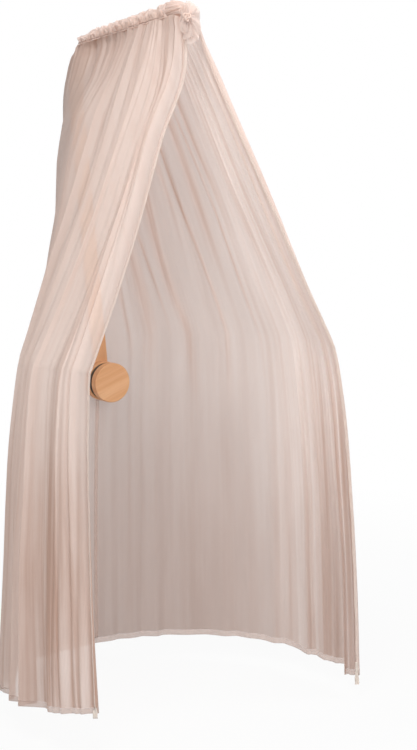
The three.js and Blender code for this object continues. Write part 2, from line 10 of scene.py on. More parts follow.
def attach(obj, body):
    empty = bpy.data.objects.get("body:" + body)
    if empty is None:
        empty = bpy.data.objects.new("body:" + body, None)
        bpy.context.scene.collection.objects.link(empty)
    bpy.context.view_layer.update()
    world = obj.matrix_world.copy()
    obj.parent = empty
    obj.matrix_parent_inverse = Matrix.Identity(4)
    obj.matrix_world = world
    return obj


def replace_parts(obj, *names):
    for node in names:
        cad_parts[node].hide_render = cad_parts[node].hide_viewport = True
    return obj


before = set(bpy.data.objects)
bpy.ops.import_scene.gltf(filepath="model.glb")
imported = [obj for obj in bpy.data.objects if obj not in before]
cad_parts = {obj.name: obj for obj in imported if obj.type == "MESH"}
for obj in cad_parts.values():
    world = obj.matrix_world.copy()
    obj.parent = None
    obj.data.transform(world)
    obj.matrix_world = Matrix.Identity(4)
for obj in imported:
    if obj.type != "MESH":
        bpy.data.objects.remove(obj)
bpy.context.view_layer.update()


# Canopy of gathered tulle on a bent wooden arm with a round clamp.
# Shapes are worked out in millimetres and written to the meshes in metres.
# The origin is on the pad of the fixed jaw, +Y points outwards, the canopy opens towards -Y.
MM = 0.001
QUARTER = math.pi / 2
ROUND = 2 * math.pi

# Arm
ARM_WIDTH, ARM_THICKNESS, LAYER = 37.0, 14.0, 2.34
ARM_EDGE_RADIUS, ARM_END_RADIUS = 2.0, 9.0
SHARP_ANGLE = math.radians(32)
POST_LENGTH, BEND_RADIUS, RUN_LENGTH, FOOT_LENGTH = 694.0, 158.0, 384.0, 42.0
BEND_TURN = math.radians(92)
LEAN = math.radians(9)
TIP_HOLE, TIP_HOLE_DEPTH, TIP_HOLE_SETBACK, TIP_HOLE_PITCH = 6.0, 8.0, 30.0, 32.0

# Clamp
BOARD, DISC, DISC_EDGE = 14.0, 100.0, 2.5
JAW, GROOVE, KNOB, KNOB_WALL = 18.0, 8.0, 22.0, 3.0
PAD, SEAT_HEIGHT, SEAT_GAP = 1.5, 30.0, 0.3
BOLT, BOLT_PLAY, HOLE_PLAY = 8.0, 0.3, 0.6
HEAD_HEIGHT, HEAD_COVER, WASHER, WASHER_THICKNESS = 5.0, 0.9, 18.0, 1.6
INSERT, INSERT_LENGTH, SLIP, SLIP_THICKNESS = 12.0, 13.0, 34.0, 1.0
SCREW, SCREW_HEAD, SCREW_HEAD_HEIGHT, SCREW_COVER, SCREW_SPACING = 4.0, 8.0, 2.4, 0.4, 27.0
SCREW_FLOOR = 4.7

# Edge that the cloth is laid over
RING_RADIUS, RING_DISTANCE, RING_HEIGHT = 384.0, 362.0, 113.0

# Cloth. -1 is its left half and 1 its right half. A share runs from 0 at the front edge to 1
# at the middle of the back; a level is 0 at the gathering seam, 1 at the ring and 2 at the hem.
HANG, HEM_FLARE, EDGE_FLARE, FLARE_LENGTH = 800.0, 50.0, 16.0, 300.0
HEM_RISE = {-1: 45.0, 1: -22.0}
EDGE_ANGLE = {-1: math.radians(114), 1: math.radians(110)}
HEM_SWING = {-1: math.radians(5), 1: 0.0}
EDGE_SAG = {-1: 50.0, 1: 4.0}
TOP_END = {-1: 6.0, 1: 16.0}
FOLDS = 9
FOLD_TOP, FOLD_RING, FOLD_HEM = 3.5, 8.0, 19.0
FOLD_REST, SEAM_FLAT = 40.0, 6.0
TOP_DROP, TOP_CORNER, TOP_WRAP, TOP_REACH, TOP_DIP = 3.0, 11.0, 22.0, 14.0, 10.0
BACK_BELLY, ARM_ROOM, ARM_SHOULDER, RIDGE, CLEAR_EXTRA = 28.0, 2.0, 4.0, 3.0, 3.0
BINDING_WIDTH, HEM_BAND, SEAM_TAPE = 9.0, 14.0, 10.0
TIE_WIDTH, TIE_LAP, TIE_HANG = 7.0, 32.0, 24.0
EDGE_GAP = 0.3
WEAVE_HALF_WIDTH = 1200.0

# Finer forms of the cloth: tables of levels with the depth at each, in millimetres
PLEAT_LEVELS = (0, 0.1, 0.3, 1, 2)
PLEATS = ((19, 0.3, (2.4, 3.2, 3.4, 3.8, 5.6)),
          (37, 1.7, (2.2, 1.8, 1.0, 0.8, 1.1)),
          (67, 4.1, (1.6, 0.9, 0.3, 0.1, 0.1)))
BANDS = ((0.30, 0.022, 1.0), (0.40, 0.014, 0.75), (0.46, 0.006, 1.2), (0.52, 0.020, 0.9),
         (0.60, 0.007, 1.3), (0.66, 0.012, 0.8), (0.73, 0.014, 1.3), (0.80, 0.006, 1.1),
         (0.86, 0.016, 1.3), (0.925, 0.007, 1.2))
BAND_HEIGHT = 2.4
EDGE_FOLD_PITCH, EDGE_FOLD_HEIGHT = 17.0, 2.6
SETTLE = {-1: ((0.4, 0.7, 0.95, 1.4, 2.0), (0, 6, 13, 14, 4)),
          1: ((0, 0.08, 0.6, 0.95, 1.4, 2.0), (0, 5, 3, 4, 7, 3))}
CORNER_IN = (0, 0.02, 0.05, 0.14, 0.2, 0.27), (0, 12, 16, 13, 6, 0)
CORNER_OUT = (0.12, 0.26, 0.4, 0.6), (0, 10, 7, 0)
EDGE_BOW, EDGE_BOW_LEVEL, EDGE_BOW_SPREAD = 31.0, 0.17, 0.13
TUCK, TUCK_LEVEL, TUCK_SPREAD = 2.2, 1.01, 0.02

# How much deeper each form looks, where 1 is the deepest tone of the net. The back, the low skirt and the
# low left skirt by the front edge are painted darker as shade; the right front edge is sheerer and painted
# lighter; fold flanks are painted lighter and darker, partly for the net lying double, partly as shade and
# light.
GROUND_TONE, BACK_PAINTED_SHADE, LOW_BACK_PAINTED_SHADE, FRONT_SHEER_AND_PAINTED_LIGHT = 0.14, 0.16, 0.12, -0.14
TOP_TONE, LOW_PAINTED_SHADE = {-1: 0.22, 1: 0.0}, {-1: 0.30, 1: 0.42}
BAND_TONE, EDGE_FOLD_PAINTED_SHADING, LOW_EDGE_PAINTED_SHADE = 0.3, 0.24, 0.5
TOP_PLEAT_LAYERS_AND_SHADE, PLEAT_LAYERS_AND_SHADE, FOLD_LAYERS_AND_SHADE = 0.24, 0.15, 0.36

# How finely the cloth is meshed
ROWS = concatenate([linspace(0, 0.08, 10)[:-1], linspace(0.08, 1.0, 62)[:-1],
                       linspace(1.0, 1.12, 12)[:-1], linspace(1.12, 2.0, 50)])
COLUMNS = 380

# Casing and rosette
CASING_WALL, CASING_SKIRT, CASING_OVERRUN, CASING_SETBACK, CASING_LIP = 6.0, 3.0, 84.0, 46.0, 2.0
RUFFLE, RUFFLE_STEP = 7.0, 5.0
CASING_ROWS, CASING_ROUND_ROWS, CASING_COLUMNS = 520, 14, 57
CASING_MOUTH, CASING_BULB, CASING_GIRTH, CASING_GATHERING = 12.0, 15.0, 120.0, 2.4
PUFF_STEPS, CREASE_STEPS, FINE_STEPS, STITCH_STEPS = 6.2, 3.6, 1.25, 1.31
PUFF_SWELL, SMALL_SWELL, CREASE_SWELL, FINE_SWELL = 13.0, 3.0, -3.2, 0.35
CORD_RADIUS, CORD_SINK = 1.0, 1.2
ROSETTE_HEIGHT, ROSETTE_WIDTH, ROSETTE_DEPTH, ROSETTE_DROP, ROSETTE_TUCK = 94.0, 44.0, 26.0, 44.0, 5.0
PUFF_LENGTH, PUFF_WIDTH, PUFF_HEIGHT, PUFF_RISE = 62.0, 58.0, 26.0, 3.0
FRILL, FRILLS = 3.0, 12
# Each flounce: its size, its place along the run, its waves and a number that sets them apart
FLOUNCES = ((1.0, 5.0, 6, 0.4), (0.93, -1.5, 7, 1.9), (0.80, -8.0, 5, 4.2))
FAN_CENTRE = (-17.0, 13.0)
KNOT_SIZE, KNOT_RADIUS = 4.2 * 0.8, 2.1

UP = np.array([0.0, math.sin(LEAN), math.cos(LEAN)])
OUT = np.array([0.0, math.cos(LEAN), -math.sin(LEAN)])
ARM_HALF = ARM_THICKNESS / 2
ARM_INNER = PAD + JAW - GROOVE
ARM_OUTER = ARM_INNER + ARM_THICKNESS / math.cos(LEAN)
ARM_BASE = np.array([0.0, ARM_INNER + ARM_HALF / math.cos(LEAN), -SEAT_HEIGHT])
BEND = BEND_RADIUS * BEND_TURN


def arm_frame(distance):
    """A place on the arm's middle, the way out of its upper face, and the way along it."""
    turn = min(max((distance - POST_LENGTH) / BEND_RADIUS, 0), BEND_TURN)
    rise = min(distance, POST_LENGTH) + BEND_RADIUS * math.sin(turn)
    reach = BEND_RADIUS * (1 - math.cos(turn))
    ahead = UP * math.cos(turn) - OUT * math.sin(turn)
    point = ARM_BASE + UP * rise - OUT * reach + ahead * max(0, distance - POST_LENGTH - BEND)
    return point, OUT * math.cos(turn) + UP * math.sin(turn), ahead


RUN_START, RUN_UP, RUN_AHEAD = arm_frame(POST_LENGTH + BEND)
SKIRT = -ARM_HALF - CASING_SKIRT
TOP_HALF = ARM_WIDTH / 2 + FOLD_TOP + 1 + ARM_ROOM
TOP_FRONT = TOP_WRAP - TOP_REACH - RUN_LENGTH
TOP_REAR = CASING_OVERRUN + 1 + SEAT_GAP + FOLD_TOP + TOP_CORNER / 2
WRAP = TOP_WRAP * QUARTER
TOP_STRAIGHT = WRAP + TOP_REAR - TOP_CORNER - TOP_FRONT
TOP_LENGTH = TOP_STRAIGHT + TOP_CORNER * QUARTER + TOP_HALF - TOP_CORNER
CASING_HALF = TOP_HALF + FOLD_TOP
CASING_CORNER = TOP_CORNER + CASING_HALF - TOP_HALF
CASING_FRONT = -RUN_LENGTH + CASING_SETBACK
CASING_LOW, CASING_END = SKIRT - TOP_DROP - 1.5, TOP_REAR - 0.8
ROSETTE_FRONT = -RUN_LENGTH - TOP_REACH - 1 - SEAT_GAP + ROSETTE_TUCK


# ---- camera, first of all
def make_camera():
    """The view of the photograph, fitted to it and then turned with the canopy."""
    turn = math.radians(32)
    pitch, yaw, roll = math.radians(8.09), math.radians(0.83), math.radians(-0.41)

    def turned(v):
        return Vector((v[0] * math.cos(turn) + v[1] * math.sin(turn),
                       -v[0] * math.sin(turn) + v[1] * math.cos(turn), v[2]))

    ahead = Vector((math.sin(yaw) * math.cos(pitch), math.cos(yaw) * math.cos(pitch), -math.sin(pitch)))
    level = Vector((math.cos(yaw), -math.sin(yaw), 0))
    above = level.cross(ahead)
    right = level * math.cos(roll) + above * math.sin(roll)
    top = above * math.cos(roll) - level * math.sin(roll)
    data = bpy.data.cameras.new("camera")
    data.sensor_fit = "VERTICAL"
    data.sensor_height = 36
    data.lens = 92.3
    data.clip_end = 60
    camera = bpy.data.objects.new("camera", data)
    bpy.context.scene.collection.objects.link(camera)
    axes = Matrix((turned(right), turned(top), -turned(ahead))).transposed().to_4x4()
    axes.translation = Vector((-2.4005, -4.2037, 0.671))
    camera.matrix_world = axes
    bpy.context.scene.camera = camera


make_camera()
bpy.context.scene.view_settings.view_transform = "Standard"


# ---- materials
def linear(r, g, b):
    """A colour given in the usual 0 to 255 steps, as the linear values that sockets take."""
    out = []
    for v in (r, g, b):
        v /= 255
        out.append(v / 12.92 if v <= 0.04045 else ((v + 0.055) / 1.055) ** 2.4)
    return (*out, 1.0)


class Nodes:
    """Short calls to build the node tree of a material or a world."""

    def __init__(self, owner):
        self.owner = owner
        owner.use_nodes = True
        self.tree = owner.node_tree
        self.tree.nodes.clear()

    def add(self, kind, inputs=(), **settings):
        node = self.tree.nodes.new(kind)
        for key, value in settings.items():
            setattr(node, key, value)
        for key, value in dict(inputs).items():
            socket = node.inputs[key]
            if isinstance(value, bpy.types.NodeSocket):
                self.tree.links.new(value, socket)
            else:
                socket.default_value = value
        return node

    def out(self, kind, inputs=(), **settings):
        return self.add(kind, inputs, **settings).outputs[0]

    def math(self, operation, a, b=0.0, clamp=False):
        return self.out("ShaderNodeMath", {0: a, 1: b}, operation=operation, use_clamp=clamp)

    def span(self, value, low, high, to_low=0.0, to_high=1.0):
        return self.out("ShaderNodeMapRange", enumerate((value, low, high, to_low, to_high)))

    def mix(self, factor, a, b):
        inputs = {"Factor": factor, 6: a, 7: b}
        return self.add("ShaderNodeMix", inputs, data_type="RGBA").outputs[2]

    def noise(self, vector, scale, detail=3.0, roughness=0.5, distortion=0.0):
        return self.out("ShaderNodeTexNoise", {"Vector": vector, "Scale": scale, "Detail": detail,
                                               "Roughness": roughness, "Distortion": distortion})

    def mapping(self, vector, scale):
        return self.out("ShaderNodeMapping", {"Vector": vector, "Scale": scale})

    def attribute(self, name, output="Fac"):
        return self.add("ShaderNodeAttribute", attribute_name=name).outputs[output]

    def place(self):
        return self.add("ShaderNodeTexCoord").outputs["Object"]

    def bump(self, height, strength, distance):
        return self.out("ShaderNodeBump", {"Height": height, "Strength": strength, "Distance": distance})

    def surface(self, colour, rough, normal, more):
        return self.out("ShaderNodeBsdfPrincipled",
                        {"Base Color": colour, "Roughness": rough, "Normal": normal, **more})

    def blend(self, factor, a, b):
        return self.out("ShaderNodeMixShader", {0: factor, 1: a, 2: b})

    def cloth(self, colour, rough, normal, glow, more):
        """Cloth that lets a share of the light through."""
        through = self.out("ShaderNodeBsdfTranslucent", {"Color": colour, "Normal": normal})
        return self.blend(glow, self.surface(colour, rough, normal, more), through)

    def netted(self, cover, body):
        """Open between its threads."""
        return self.blend(cover, self.out("ShaderNodeBsdfTransparent"), body)

    def done(self, surface, kind="ShaderNodeOutputMaterial"):
        self.add(kind, {"Surface": surface})
        return self.owner


def tulle_material(name, light, shade, thin, thick, glow):
    """Fine net: a small mesh of threads, more closed and warmer where it is gathered; painted shade and
    light are added to the same mark.
    """
    n = Nodes(bpy.data.materials.new(name))
    weave = n.attribute("weave", "Vector")
    gather, calm = n.attribute("gather"), n.attribute("calm")
    cell = n.out("ShaderNodeTexVoronoi", {"Vector": weave, "Scale": 700.0, "Randomness": 0.3},
                 feature="DISTANCE_TO_EDGE", voronoi_dimensions="2D")
    thread = n.span(cell, 0.05, 0.3, 1.0, 0.0)
    soft = n.noise(n.mapping(weave, (9.0, 2.2, 1.0)), 1.0, 4.0, 0.6)
    streak = n.noise(n.mapping(weave, (170.0, 3.0, 1.0)), 1.0, 3.0, 0.6)
    pleat = n.noise(n.mapping(weave, (62.0, 1.3, 1.0)), 1.0, 2.0, 0.6)
    streaks = n.math("ADD", n.span(streak, 0.3, 0.75, -0.18, 0.22), n.span(pleat, 0.35, 0.65, -0.16, 0.18))
    streaks = n.math("MULTIPLY", streaks, n.span(calm, 0.0, 1.0, 1.0, 0.3))
    closed = n.math("ADD", gather, streaks, clamp=True)
    tone = n.math("ADD", closed, n.span(soft, 0.3, 0.7, -0.15, 0.15), clamp=True)
    colour = n.mix(tone, linear(*light), linear(*shade))
    # Painted shade: where the calm mark is high the colour is drawn toward a grey, for cloth seen from
    # inside in little light.
    colour = n.mix(n.math("MULTIPLY", calm, 0.42), colour, linear(196, 186, 182))
    colour = n.mix(n.span(thread, 0.0, 1.0, 0.10, 0.0), colour, linear(170, 140, 130))
    normal = n.bump(n.math("ADD", n.math("MULTIPLY", thread, 0.5), streak), 0.25, 0.0006)
    body = n.cloth(colour, n.span(soft, 0.2, 0.8, 0.78, 0.92), normal, glow, {
        "Sheen Weight": 0.25, "Sheen Roughness": 0.45, "Sheen Tint": linear(255, 240, 232),
        "Specular IOR Level": 0.15})
    cover = n.span(closed, 0.0, 1.0, thin, thick)
    cover = n.math("ADD", cover, n.span(thread, 0.0, 1.0, -0.10, 0.10), clamp=True)
    return n.done(n.netted(cover, body))


def tape_material(name, light, shade, cover=1.0):
    """Woven tape or cord: crossed threads on a pale ground, open between them where cover is below 1."""
    n = Nodes(bpy.data.materials.new(name))
    weave = n.attribute("weave", "Vector")
    wave = {"Vector": weave, "Scale": 420.0, "Distortion": 0.6, "Detail": 1.0}
    warp, weft = (n.add("ShaderNodeTexWave", wave, wave_type="BANDS", bands_direction=way).outputs[1]
                  for way in "XY")
    threads = n.math("MAXIMUM", warp, weft)
    soft = n.noise(weave, 60.0, 4.0, 0.6)
    tone = n.math("ADD", n.span(soft, 0.3, 0.7, 0.0, 0.7), n.span(threads, 0.0, 1.0, 0.3, 0.0), clamp=True)
    colour = n.mix(tone, linear(*light), linear(*shade))
    body = n.cloth(colour, n.span(soft, 0.2, 0.8, 0.75, 0.92), n.bump(threads, 0.4, 0.0003), 0.3, {
        "Sheen Weight": 0.2, "Sheen Roughness": 0.5, "Specular IOR Level": 0.2})
    if cover < 1:
        body = n.netted(n.math("ADD", n.span(threads, 0.0, 1.0, -0.08, 0.08), cover, clamp=True), body)
    return n.done(body)


def wood_material(name, layered):
    """Lacquered beech: soft bands along the grain, short dark flecks, and for the arm thin layers."""
    n = Nodes(bpy.data.materials.new(name))
    grain = n.attribute("grain", "Vector")
    bands = n.noise(n.mapping(grain, (60.0, 60.0, 2.2)), 1.0, 4.0, 0.55, 0.4)
    broad = n.noise(n.mapping(grain, (22.0, 22.0, 1.2)), 1.0, 2.0, 0.5, 0.3)
    fine = n.noise(n.mapping(grain, (600.0, 600.0, 14.0)), 1.0, 4.0, 0.6)
    fleck = n.out("ShaderNodeTexVoronoi", {"Vector": n.mapping(grain, (900.0, 900.0, 210.0)), "Scale": 1.0})
    colour = n.mix(n.span(bands, 0.32, 0.68), linear(245, 198, 152), linear(228, 170, 120))
    colour = n.mix(n.span(broad, 0.35, 0.7, 0.0, 0.45), colour, linear(230, 172, 126))
    colour = n.mix(n.span(fine, 0.45, 0.75, 0.0, 0.30), colour, linear(200, 142, 98))
    colour = n.mix(n.span(fleck, 0.0, 0.22, 0.35, 0.0), colour, linear(158, 98, 62))
    if layered:
        # The layers lie across the arm's thickness, each with its own tone and a dark glue line
        depth = n.add("ShaderNodeSeparateXYZ", {0: grain}).outputs[1]
        glue = n.math("PINGPONG", n.math("ADD", depth, MM * ARM_HALF), MM * LAYER / 2)
        colour = n.mix(n.span(glue, 0.0, 0.00018, 0.22, 0.0), colour, linear(150, 98, 64))
        layer = n.math("FLOOR", n.math("DIVIDE", depth, MM * LAYER))
        tone = n.out("ShaderNodeTexWhiteNoise", {"W": layer}, noise_dimensions="1D")
        colour = n.mix(n.span(tone, 0.0, 1.0, 0.0, 0.22), colour, linear(238, 198, 160))
    normal = n.bump(n.math("ADD", fine, n.math("MULTIPLY", bands, 0.5)), 0.12, 0.0005)
    return n.done(n.surface(colour, n.span(fine, 0.3, 0.7, 0.36, 0.50), normal, {
        "Coat Weight": 0.15, "Coat Roughness": 0.3, "Specular IOR Level": 0.4}))


def plain_material(name, light, shade, patches, rough, grain, relief, fleck=None, more=()):
    """Rubber, nylon or plated metal: patches of tone and gloss, and a fine grain."""
    n = Nodes(bpy.data.materials.new(name))
    place = n.place()
    patch = n.noise(place, patches)
    stretch, *fineness = grain
    speck = n.noise(n.mapping(place, (1.0, stretch, 1.0)), *fineness)
    colour = n.mix(n.span(patch, 0.3, 0.7), linear(*light), linear(*shade))
    if fleck:
        colour = n.mix(n.span(speck, 0.55, 0.8, 0.0, 0.4), colour, linear(*fleck))
    return n.done(n.surface(colour, n.span(patch, 0.2, 0.8, *rough), n.bump(speck, *relief), dict(more)))


TULLE = tulle_material("tulle", (245, 227, 218), (198, 165, 149), 0.76, 0.97, 0.25)
# The casing and crown get a copy of the tulle painted lighter, most in its deep tone, against the shade
# among their folds; the flounces get a sheerer copy, painted lighter in its deep tone for the same reason.
GATHERED_PAINTED_LIGHTER = tulle_material("tulle_gathered", (251, 235, 228), (216, 186, 173), 0.80, 0.98, 0.3)
RUFFLE_NET_PAINTED_LIGHTER = tulle_material("tulle_ruffle_painted_lighter", (242, 227, 220), (220, 194, 183), 0.70, 0.95, 0.3)
TAPE = tape_material("edge_tape", (246, 234, 226), (232, 215, 206), 0.7)
HEM = tape_material("hem_tape", (230, 209, 199), (212, 188, 176), 0.5)
SEAM = tape_material("seam_tape", (243, 224, 214), (232, 210, 199), 0.3)
RIBBON = tape_material("ribbon", (250, 243, 236), (236, 224, 214))
CORD = tape_material("cord", (248, 230, 220), (228, 202, 190))
ARM_WOOD = wood_material("beech_layers", True)
DISC_WOOD = wood_material("beech_solid", False)
RUBBER = plain_material("rubber_pad", (116, 109, 102), (96, 90, 84), 45.0, (0.78, 0.94),
                        (1.0, 900.0, 3.0, 0.6), (0.35, 0.0003), (140, 133, 126), {"Specular IOR Level": 0.3})
NYLON = plain_material("nylon_washer", (238, 236, 230), (224, 221, 213), 120.0, (0.42, 0.58),
                       (1.0, 120.0), (0.15, 0.0004))
STEEL = plain_material("plated_steel", (196, 197, 200), (168, 170, 174), 160.0, (0.26, 0.44),
                       (6.0, 700.0, 4.0, 0.6), (0.2, 0.0002), more={"Metallic": 1.0})
BRASS = plain_material("brass", (214, 180, 112), (184, 148, 84), 160.0, (0.28, 0.46),
                       (6.0, 700.0, 4.0, 0.6), (0.2, 0.0002), more={"Metallic": 1.0})


# ---- meshes
def link(name, mesh, material, body):
    mesh.materials.append(material)
    mesh.polygons.foreach_set("use_smooth", np.ones(len(mesh.polygons), bool))
    piece = bpy.data.objects.new(name, mesh)
    bpy.context.scene.collection.objects.link(piece)
    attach(piece, body)
    return piece


def mesh_from(name, points, faces, weave=None, grain=None, **marks):
    """A mesh from millimetres. The weave and the grain are places on the flat cloth or in the wood."""
    mesh = bpy.data.meshes.new(name)
    mesh.from_pydata((np.asarray(points, float) * MM).tolist(), [], faces)
    if weave is not None:
        marks["weave"] = np.pad(np.reshape(weave, (-1, 2)), ((0, 0), (0, 1))) * MM
    if grain is not None:
        marks["grain"] = grain * MM
    for label, values in marks.items():
        kind, field = ("FLOAT_VECTOR", "vector") if label in ("weave", "grain") else ("FLOAT", "value")
        layer = mesh.attributes.new(label, kind, "POINT")
        layer.data.foreach_set(field, np.asarray(values, np.float32).ravel())
    mesh.validate()
    mesh.update()
    return mesh


def grid_faces(rows, columns, wrap_rows=False, wrap_columns=False, start=0, flip=False):
    """Quads over a grid of points stored row by row."""
    j = np.arange(rows if wrap_rows else rows - 1)
    i = np.arange(columns if wrap_columns else columns - 1)
    jj, ii = np.meshgrid(j, i, indexing="ij")
    j2, i2 = (jj + 1) % rows, (ii + 1) % columns
    quads = np.stack([jj * columns + ii, jj * columns + i2, j2 * columns + i2, j2 * columns + ii], -1)
    quads = quads.reshape(-1, 4) + start
    return (quads[:, ::-1] if flip else quads).tolist()


def capped_faces(rings, sides):
    """Quads over a row of rings, with a face on each end."""
    ends = [list(range(sides - 1, -1, -1)), [(rings - 1) * sides + i for i in range(sides)]]
    return grid_faces(rings, sides, wrap_columns=True) + ends


def slab(points, normals, thickness):
    """A grid of points made into a closed sheet with a little thickness."""
    rows, columns = points.shape[:2]
    half = normals * (thickness / 2)
    both = concatenate([(points + half).reshape(-1, 3), (points - half).reshape(-1, 3)])
    layer = rows * columns
    faces = grid_faces(rows, columns) + grid_faces(rows, columns, start=layer, flip=True)
    rim = [i for i in range(columns)] + [j * columns + columns - 1 for j in range(1, rows)]
    rim += [(rows - 1) * columns + i for i in range(columns - 2, -1, -1)]
    rim += [j * columns for j in range(rows - 2, 0, -1)]
    for a, b in zip(rim, rim[1:] + rim[:1]):
        faces.append([b, a, layer + a, layer + b])
    return both, faces


def solid(mesh):
    """Turns the faces of a closed mesh outwards."""
    made = bmesh.new()
    made.from_mesh(mesh)
    bmesh.ops.recalc_face_normals(made, faces=made.faces)
    made.to_mesh(mesh)
    made.free()
    return mesh


def sew(name, point, normal, thickness, weave, material, stands_for):
    """A strip of tape with a little thickness, on the canopy."""
    points, faces = slab(point, normal, thickness)
    mesh = solid(mesh_from(name, points, faces, concatenate([weave.reshape(-1, 2)] * 2)))
    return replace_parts(link(name, mesh, material, "canopy"), stands_for)


def unit(v):
    return v / maximum(np.linalg.norm(v, axis=-1, keepdims=True), 1e-12)


def smooth(x, low, high):
    t = np.clip((x - low) / (high - low), 0, 1)
    return t * t * (3 - 2 * t)


def lerp(a, b, t):
    return a + (b - a) * t


def hump(x, middle, spread):
    return np.exp(-((x - middle) / spread) ** 2)


def pair(a, b):
    """Places on flat cloth, from what they are across and along it."""
    return np.stack(np.broadcast_arrays(a, b), -1)


# ---- cloth
def run_place(x, y, z):
    """A place given from the start of the arm's run: across, back along the run and above it."""
    x, y, z = np.broadcast_arrays(x, y, z)
    place = RUN_START - y[..., None] * RUN_AHEAD + z[..., None] * RUN_UP
    place[..., 0] = x
    return place


def top_point(side, share):
    """The gathering seam: from the tip, along the run, round a corner and across behind the arm."""
    along = share * TOP_LENGTH
    lead = maximum(0, 1 - along / WRAP) * QUARTER
    turn = np.clip((along - TOP_STRAIGHT) / TOP_CORNER, 0, QUARTER)
    across = maximum(0, along - TOP_STRAIGHT - TOP_CORNER * QUARTER)
    bend = (TOP_HALF - TOP_END[side]) * (1 - cos(lead)) + TOP_CORNER * (1 - cos(turn))
    straight = np.clip(along, WRAP, TOP_STRAIGHT) - WRAP
    y = TOP_FRONT - TOP_WRAP * sin(lead) + straight + TOP_CORNER * sin(turn)
    z = SKIRT - TOP_DROP - TOP_DIP * sin(lead)
    return run_place(side * (TOP_HALF - bend - across), y, z)


def ring_point(side, share, drop):
    """The cloth at the ring or below it, without its folds."""
    hang = drop / HANG
    edge = EDGE_ANGLE[side] + HEM_SWING[side] * hang
    edge_flare = 0.0 if side < 0 else EDGE_FLARE * (1 - share)
    flare = (HEM_FLARE + edge_flare) * (1 - np.exp(-drop / FLARE_LENGTH))
    rise = HEM_RISE[side] * hang * maximum(0, 1 - 2 * share)
    angle = edge * (1 - share)
    x = side * (RING_RADIUS + flare) * sin(angle)
    y = (RING_RADIUS + flare) * cos(angle) - RING_DISTANCE
    z = RING_HEIGHT - SEAT_HEIGHT - drop + rise
    return np.stack([x, y, np.broadcast_to(z, x.shape)], -1)


def fold_depth(level):
    lower = lerp(FOLD_RING, FOLD_HEM, np.sqrt(np.clip(level - 1, 0, 1)))
    return np.where(level < 1, lerp(FOLD_TOP, FOLD_RING, level), lower)


def soft_lift(missing):
    """How far a place moves that lacks this much room, with a soft start."""
    return RIDGE * np.log1p(np.exp(np.minimum(missing / RIDGE, 60)))


def clear_arm(point, level):
    """The cloth passes behind the arm and the fixed jaw with room to spare."""
    local = point - ARM_BASE
    height, outward = local @ UP - POST_LENGTH, local @ OUT
    back = smooth(outward, -BEND_RADIUS, -BEND_RADIUS / 3)
    over = (height > 0) & (outward > -BEND_RADIUS)
    radial = (outward + BEND_RADIUS)[..., None] * OUT + height[..., None] * UP
    away = np.where(over[..., None], radial, OUT)
    distance = np.where(over, np.linalg.norm(away, axis=-1) - BEND_RADIUS, outward)
    away = unit(away)
    beside = maximum(0, np.abs(point[..., 0]) - ARM_WIDTH / 2 - ARM_SHOULDER)
    below = maximum(0, -FOOT_LENGTH - height - POST_LENGTH)
    # The cloth falls away beside the arm, steeply at the top and gently below
    gentle, steep = 0.55, 4.0
    fall = lerp(steep, gentle, smooth(level, 0.05, 0.4))
    room = ARM_HALF + fold_depth(level) + 1 + ARM_ROOM + CLEAR_EXTRA * smooth(level, 0, 0.05)
    wanted = room - fall * beside - gentle * below
    fade = back * np.minimum(1, level / 0.05)
    point = point + away * (fade * soft_lift(wanted - distance))[..., None]
    off = maximum(0, np.hypot(point[..., 0], point[..., 2] + SEAT_HEIGHT) - DISC / 2)
    behind = PAD + JAW + room - ARM_HALF - gentle * off
    point[..., 1] += back * soft_lift(behind - point[..., 1])
    return point


def base_cloth(side, share, level):
    """The cloth without folds: straight from the seam to the ring, with its sags, and down from there."""
    top, ring = top_point(side, share), ring_point(side, share, np.zeros_like(share))
    reach = np.clip(level, 0, 1)
    upper = top + (ring - top) * reach[..., None]
    inward = np.stack([-upper[..., 0], -RING_DISTANCE - upper[..., 1], np.zeros_like(share)], -1)
    sag = EDGE_SAG[side] * sin(math.pi * reach) * maximum(0, 1 - share) ** 2
    belly = BACK_BELLY * sin(math.pi * np.sqrt(reach)) * smooth(share, 0.25, 0.75)
    upper = upper + unit(inward) * (sag - belly)[..., None]
    lower = ring_point(side, share, maximum(0, level - 1) * HANG)
    return clear_arm(np.where((level <= 1)[..., None], upper, lower), level)


def half_length(side, level):
    """How long the cloth is at a level, from its front edge to the middle of the back."""
    lower = EDGE_ANGLE[side] * (RING_RADIUS + HEM_FLARE * maximum(0, level - 1))
    return np.where(level < 1, lerp(TOP_LENGTH, lower, level), lower)


def rest_near_ends(side, share, level, rest):
    """0 at the seam behind the arm and past the front edge, 1 where folds are free."""
    length = half_length(side, level)
    still = np.minimum(((1 - share) * length - SEAM_FLAT) / rest, (share * length + BINDING_WIDTH) / rest)
    return np.clip(still, 0, 1)


def main_phase(side, share, level):
    drift = 0.42 * sin(QUARTER * 5 * share + side)
    sway = 0.16 * level * sin(QUARTER * 9 * share)
    return ROUND * (FOLDS * share + (drift + sway) * side)


def calm_back(side, share, level):
    """The back hangs smooth, and so does the right half away from its front edge."""
    start = 0.55 if side < 0 else 0.24
    return 1 - 0.72 * smooth(share, start, start + 0.2) * smooth(level, 0.04, 0.4)


def main_folds(side, share, level):
    uneven = 1 - 0.25 * (1 + sin(QUARTER * 17 * share + 2 * side))
    loose = 4.5 * smooth(level, 0, 0.2) * (1 - smooth(level, 0.7, 1.2)) * (1 - smooth(share, 0.7, 0.85))
    depth = (fold_depth(level) + loose) * uneven * rest_near_ends(side, share, level, FOLD_REST / 2)
    return depth * calm_back(side, share, level)


def bands(side, share, level):
    """A few narrow folds that run down from the top of the right half's calm part and fade out."""
    found = np.zeros_like(share)
    for place, width, end in BANDS if side > 0 else ():
        drift = place - 0.05 * level + 0.01 * sin(6 * level + 30 * place)
        found += hump(share, drift, 1.2 * width) * (1 - smooth(level, end - 0.45, end))
    return np.clip(found, 0, 1)


